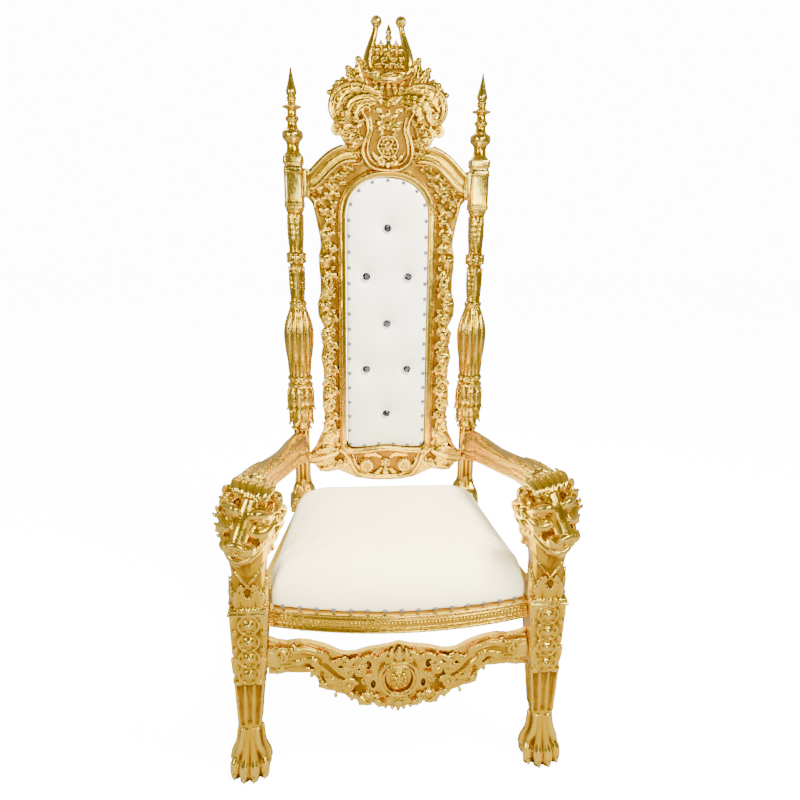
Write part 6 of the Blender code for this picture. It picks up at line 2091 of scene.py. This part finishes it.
@dataclass
class SeatCushion:
    """The full seat cushion: bowed at the front, notched at the legs and narrower at the rear."""

    voxel: float = 0.0088
    height: float = 0.119
    rear: float = 0.238
    rear_half: float = 0.269
    flare: float = 0.008
    rows: tuple[Flat, ...] = (
        (0.004, 0.0), (0.004, 0.08), (0.000, 0.16), (0.002, 0.32), (0.024, 0.52), (0.072, 0.71), (0.19, 0.88),
        (0.46, 0.975), (0.8, 1.0))
    corner: float = 0.062
    middle_y: float = 0.02
    rail_gap: float = 0.003
    leg_gap: float = 0.0045
    leg_zone: float = 0.255
    foot_grip: float = 0.016
    swell: float = 0.006
    nail_up: float = 0.0075
    nail_spacing: float = 0.037

    def build(self, hide: Material) -> None:
        """Makes the cushion and hands it over."""
        bottom = LAYOUT.seat_rail_top + GAP
        middle = self.middle_y
        rings = []
        for inward, up in self.rows:
            rings.append([(x * (1 - inward), middle + (y - middle) * (1 - inward * 0.92),
                           bottom + self.height * up) for x, y in self.outline()])
        carving = Carving(Matrix.Identity(4))
        carving.loft(np.array(rings))
        item = cover("seat_cushion_cover", carving.shape, self.voxel)
        points = points_of(item.data)
        legs = (np.abs(points[:, 0]) > self.leg_zone) & (points[:, 1] < LAYOUT.leg_rear_y() + 0.02)
        Puff(cap=self.swell).run(item, (points[:, 2] < bottom + self.foot_grip) | legs)
        rounded(item)
        points = points_of(item.data)
        points[:, 2] = np.maximum(points[:, 2], bottom)
        item.data.vertices.foreach_set("co", points.astype(np.float32).ravel())
        show(item, Slot.SEAT, hide, "seat_cushion")

    def outline(self) -> list[Flat]:
        """Plan of the cushion's foot, anticlockwise from the middle of its front."""
        inner = LAYOUT.leg_inner_x(LAYOUT.seat_rail_top) - self.leg_gap
        behind = LAYOUT.leg_rear_y() + 0.003
        right = []
        for step in range(1, 13):
            x = inner * step / 12
            right.append((x, -LAYOUT.rail_bow(x) + self.rail_gap))
        right += [(inner, behind - 0.006), (inner + 0.4 * self.flare, behind + 0.006)]
        for step in range(9):
            share = step / 8
            right.append((inner + self.flare + (self.rear_half - inner - self.flare) * share,
                          behind + 0.012 + (self.rear - self.corner - behind - 0.012) * share))
        for step in range(1, 6):
            way = math.pi / 2 * step / 5
            right.append((self.rear_half - self.corner * (1 - math.cos(way)),
                          self.rear - self.corner * (1 - math.sin(way))))
        for step in range(4, 0, -1):
            right.append(((self.rear_half - self.corner) * step / 5, self.rear))
        left = [(-x, y) for x, y in right[::-1]]
        return [(0.0, -LAYOUT.rail_bow(0.0) + self.rail_gap)] + right + [(0.0, self.rear)] + left

    def nails(self) -> list[tuple[Vector, Vector]]:
        """Places and directions of the nails along the front and the sides of the seat."""
        z = LAYOUT.seat_rail_top + self.nail_up
        inner = LAYOUT.leg_inner_x(LAYOUT.seat_rail_top) - 0.012
        count = round(2 * inner / self.nail_spacing)
        places = []
        for index in range(count):
            x = inner * (2 * (index + 0.5) / count - 1)
            slope = 2 * LAYOUT.front_rail_bow * x / LAYOUT.leg_inner_x(LAYOUT.seat_rail_top) ** 2
            at = Vector((x, -LAYOUT.rail_bow(x) + self.rail_gap, z))
            places.append((at, Vector((slope, -1, 0)).normalized()))
        start_y, end_y = LAYOUT.leg_rear_y() + 0.030, self.rear - self.corner - 0.004
        count = round((end_y - start_y) / self.nail_spacing)
        start_x = LAYOUT.leg_inner_x(LAYOUT.seat_rail_top) - self.leg_gap + self.flare
        for index in range(count + 1):
            share = index / count
            span = self.rear_half - start_x
            along = start_y + (end_y - start_y) * share - start_y + 0.015
            x = start_x + span * along / (self.rear - self.corner - start_y + 0.015)
            way = Vector((end_y - start_y, -span, 0)).normalized()
            for side in (-1, 1):
                places.append((Vector((side * (x - 0.0012), start_y + (end_y - start_y) * share, z)),
                               Vector((side * way.x, way.y, 0))))
        return places


@dataclass
class Fittings:
    """The crystal buttons in their cups, and the nail heads round the pad and the seat."""

    cup_radius: float = 0.0126
    nail_radius: float = 0.0052

    def build(self, pad: BackPad, seat: SeatCushion, silver: Material, crystal: Material,
              pewter: Material) -> None:
        """Makes all the fittings and hands them over."""
        cup_rows = ((0.90, 0.0), (1.0, 1.2), (1.0, 3.2), (0.95, 4.4), (0.86, 4.6), (0.80, 3.4), (0.62, 2.2))
        stone_rows = ((0.50, 2.6), (0.70, 4.1), (0.62, 6.6), (0.36, 8.9))
        nail_rows = ((1.0, -1.5), (1.0, 0.2), (0.78, 1.7), (0.36, 2.8))
        stones = Carving()
        for number, (x, z) in enumerate(pad.buttons(), start=1):
            place = self.facing(Vector((x, pad.seat_y(z) - GAP, z)), Vector((0, -1, 0)))
            cup = Carving(place)
            self.lathe(cup, cup_rows, 24)
            item = self.piece(f"tuft_button_{number}_cup", cup)
            item.data.shade_smooth()
            show(item, Slot.CRYSTAL, silver, f"tuft_button_{number}")
            self.lathe(stones.within(place), stone_rows, 8, twist=22.5)
        gems = show(self.piece("tuft_button_stones", stones), Slot.CRYSTAL, crystal)
        gems.visible_shadow = False
        for name, places in (("back_pad_nails", pad.nails()), ("seat_nails", seat.nails())):
            heads = Carving(*(self.facing(at, way) for at, way in places))
            self.lathe(heads, nail_rows, 10, self.nail_radius)
            item = self.piece(name, heads)
            item.data.shade_smooth()
            show(item, Slot.NAIL, pewter)

    def facing(self, at: Vector, way: Vector) -> Matrix:
        """A matrix that stands a drawing in metres at a place, its Z along a direction."""
        return Matrix.Translation(at) @ way.to_track_quat("Z", "Y").to_matrix().to_4x4()

    def lathe(self, carving: Carving, rows: Sequence[Flat], sides: int, radius: float = 0.0,
              twist: float = 0.0) -> None:
        """A closed round body.

        Args:
            carving: Where it is added.
            rows: Pairs of a share of the radius and a height in millimetres.
            sides: Points round it.
            radius: Its radius in metres, or 0 for a cup's.
            twist: Degrees that each ring turns against the one before.
        """
        mesh, points = rod_blank(sides, len(rows))
        ring = np.rint(points[:, 2]).astype(int)
        wide = np.array([share for share, _ in rows])[ring] * (radius or self.cup_radius)
        lift = np.array([height for _, height in rows])[ring] * MM
        turn = np.radians(twist) * ring
        x = points[:, 0] * np.cos(turn) - points[:, 1] * np.sin(turn)
        y = points[:, 0] * np.sin(turn) + points[:, 1] * np.cos(turn)
        carving.stamp(mesh, np.c_[x * wide, y * wide, lift])

    def piece(self, name: str, carving: Carving) -> Object:
        """An object with the carving's shapes as they are."""
        return placed(name, as_mesh(carving.shape, name))


# Stage and camera

@dataclass
class Studio:
    """Pale floor, soft lights and the camera at the photograph's viewpoint."""

    position: Spot = (-0.13331, -1.67904, 1.30890)
    yaw: float = 0.0892143
    pitch: float = 0.2631195
    roll: float = 0.014683
    focal_px: float = 692.36
    frame_px: float = 800.0
    floor_half: float = 14.0
    floor_tone: Colour = (0.93, 0.93, 0.93, 1.0)
    floor_mirrored: Colour = (0.17, 0.15, 0.11, 1.0)
    floor_glow: float = 13.0
    sky_front: Colour = (0.165, 0.14, 0.09, 1)
    sky_rear: Colour = (0.62, 0.57, 0.44, 1)
    sky_on_hide: Colour = (1.0, 1.0, 1.0, 1)
    sky_through_stones: Colour = (2.6, 2.6, 2.6, 1)
    sky_seen: Colour = (14.0, 14.0, 14.0, 1)
    washes: tuple[tuple[str, Spot, Spot, float, float], ...] = (
        ("wash_key", (1.2, -0.9, 3.3), (0, 0, 0.9), 0.9, 590),
        ("wash_fill", (-2.2, -2.0, 1.5), (0, 0, 0.8), 1.6, 75),
        ("wash_top", (0, 0.2, 3.4), (0, 0.1, 0.9), 1.8, 80))
    lamps: tuple[tuple[str, Spot, Spot, float, float], ...] = (
        ("key", (1.6, -2.2, 2.5), (0, 0, 0.9), 0.75, 56),
        ("fill", (-2.0, -1.7, 1.7), (0, 0, 0.8), 0.75, 32),
        ("low", (0.3, -3.2, 0.4), (0, 0, 0.6), 0.9, 8),
        ("upper", (0.4, -2.6, 1.9), (0, 0, 1.6), 0.7, 27),
        ("back", (-0.6, 2.4, 2.9), (0, 0.2, 1.1), 1.2, 30))

    def build(self) -> None:
        """Sets the whole studio; each light is its name, place, aim, side and power."""
        self.camera()
        self.floor()
        self.world()
        for row in self.washes:
            self.light(*row, mirrored=False)
        for row in self.lamps:
            self.light(*row)

    def camera(self) -> None:
        """The camera, from its yaw, pitch and roll."""
        yaw, pitch, roll = self.yaw, self.pitch, self.roll
        ahead = Vector((math.sin(yaw) * math.cos(pitch), math.cos(yaw) * math.cos(pitch), -math.sin(pitch)))
        right = Vector((math.cos(yaw), -math.sin(yaw), 0))
        above = right.cross(ahead)
        level = right * math.cos(roll) + above * math.sin(roll)
        upright = above * math.cos(roll) - right * math.sin(roll)
        pose = Matrix((level, upright, -ahead)).transposed().to_4x4()
        pose.translation = self.position
        lens = bpy.data.cameras.new("camera")
        lens.sensor_width = 36.0
        lens.lens = lens.sensor_width * self.focal_px / self.frame_px
        item = placed("camera", lens)
        item.matrix_world = pose
        bpy.context.scene.camera = item

    def floor(self) -> None:
        """A wide pale floor."""
        shape = bmesh.new()
        bmesh.ops.create_grid(shape, x_segments=2, y_segments=2, size=self.floor_half)
        item = placed("floor", as_mesh(shape, "floor"))
        made, plan, shader = new_finish("pale_floor")
        path = plan.add("ShaderNodeLightPath")
        glow = plan.maths("MULTIPLY", path.outputs["Is Camera Ray"], self.floor_glow)
        tone = plan.blend(path.outputs["Is Glossy Ray"], self.floor_tone, self.floor_mirrored)
        plan.feed(shader, Base_Color=tone, Emission_Color=(1.0, 1.0, 1.0, 1.0), Emission_Strength=glow)
        plan.feed(shader, Roughness=0.75, Specular_IOR_Level=0.2)
        item.data.materials.append(made)

    def world(self) -> None:
        """Soft light from all round, darker before the throne than behind, and white where it is seen."""
        world = bpy.data.worlds.new("studio")
        bpy.context.scene.world = world
        world.use_nodes = True
        plan = NodePlan(world.node_tree)
        shader = world.node_tree.nodes["Background"]
        way = plan.add("ShaderNodeTexCoord").outputs["Generated"]
        parts = plan.add("ShaderNodeSeparateXYZ")
        plan.feed(parts, Vector=way)
        side = plan.band(parts.outputs["Y"], -0.7, 0.6)
        tone = plan.blend(side, self.sky_front, self.sky_rear)
        path = plan.add("ShaderNodeLightPath")
        for ray, seen in (("Is Diffuse Ray", self.sky_on_hide),
                          ("Is Transmission Ray", self.sky_through_stones),
                          ("Is Camera Ray", self.sky_seen)):
            tone = plan.blend(path.outputs[ray], tone, seen)
        plan.feed(shader, Color=tone, Strength=1.0)

    def light(self, name: str, at: Point, aim: Point, size: float, power: float,
              mirrored: bool = True) -> None:
        """A square soft light that looks at a point.

        Args:
            name: Its name.
            at: Where it hangs.
            aim: The point that it looks at.
            size: Its side in metres.
            power: Its power in watts.
            mirrored: Whether the gold reflects it; a wash light only brightens dull surfaces.
        """
        lamp = bpy.data.lights.new(name, "AREA")
        lamp.size = size
        lamp.energy = power
        item = placed(name, lamp)
        item.visible_glossy = mirrored
        item.location = at
        item.rotation_euler = (Vector(aim) - Vector(at)).to_track_quat("-Z", "Y").to_euler()


def main() -> None:
    """Builds the throne's looks in order."""
    logging.basicConfig(level=logging.INFO, format="%(message)s")
    Studio().build()
    gold = Gilding().make()
    plain_gold = Gilding(name="carved_gold_plain", hollow=0.45).make()
    LionLeg().build(gold)
    Posts().build(gold)
    BackFrame().build(gold)
    Crest().build(gold)
    Stretcher().build(gold)
    FrontRail().build(gold)
    Arms().build(gold)
    pad, seat = BackPad(), SeatCushion()
    pad.build(WHITE_HIDE.make())
    seat.build(CREAM_HIDE.make())
    Fittings().build(pad, seat, SILVER.make(), Crystal().make(), PEWTER.make())
    for node in ("rear_leg_left", "rear_leg_right", "side_rail_left", "side_rail_right", "rear_rail"):
        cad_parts[node].data.materials.clear()
        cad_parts[node].data.materials.append(plain_gold)


if __name__ == "__main__":
    main()
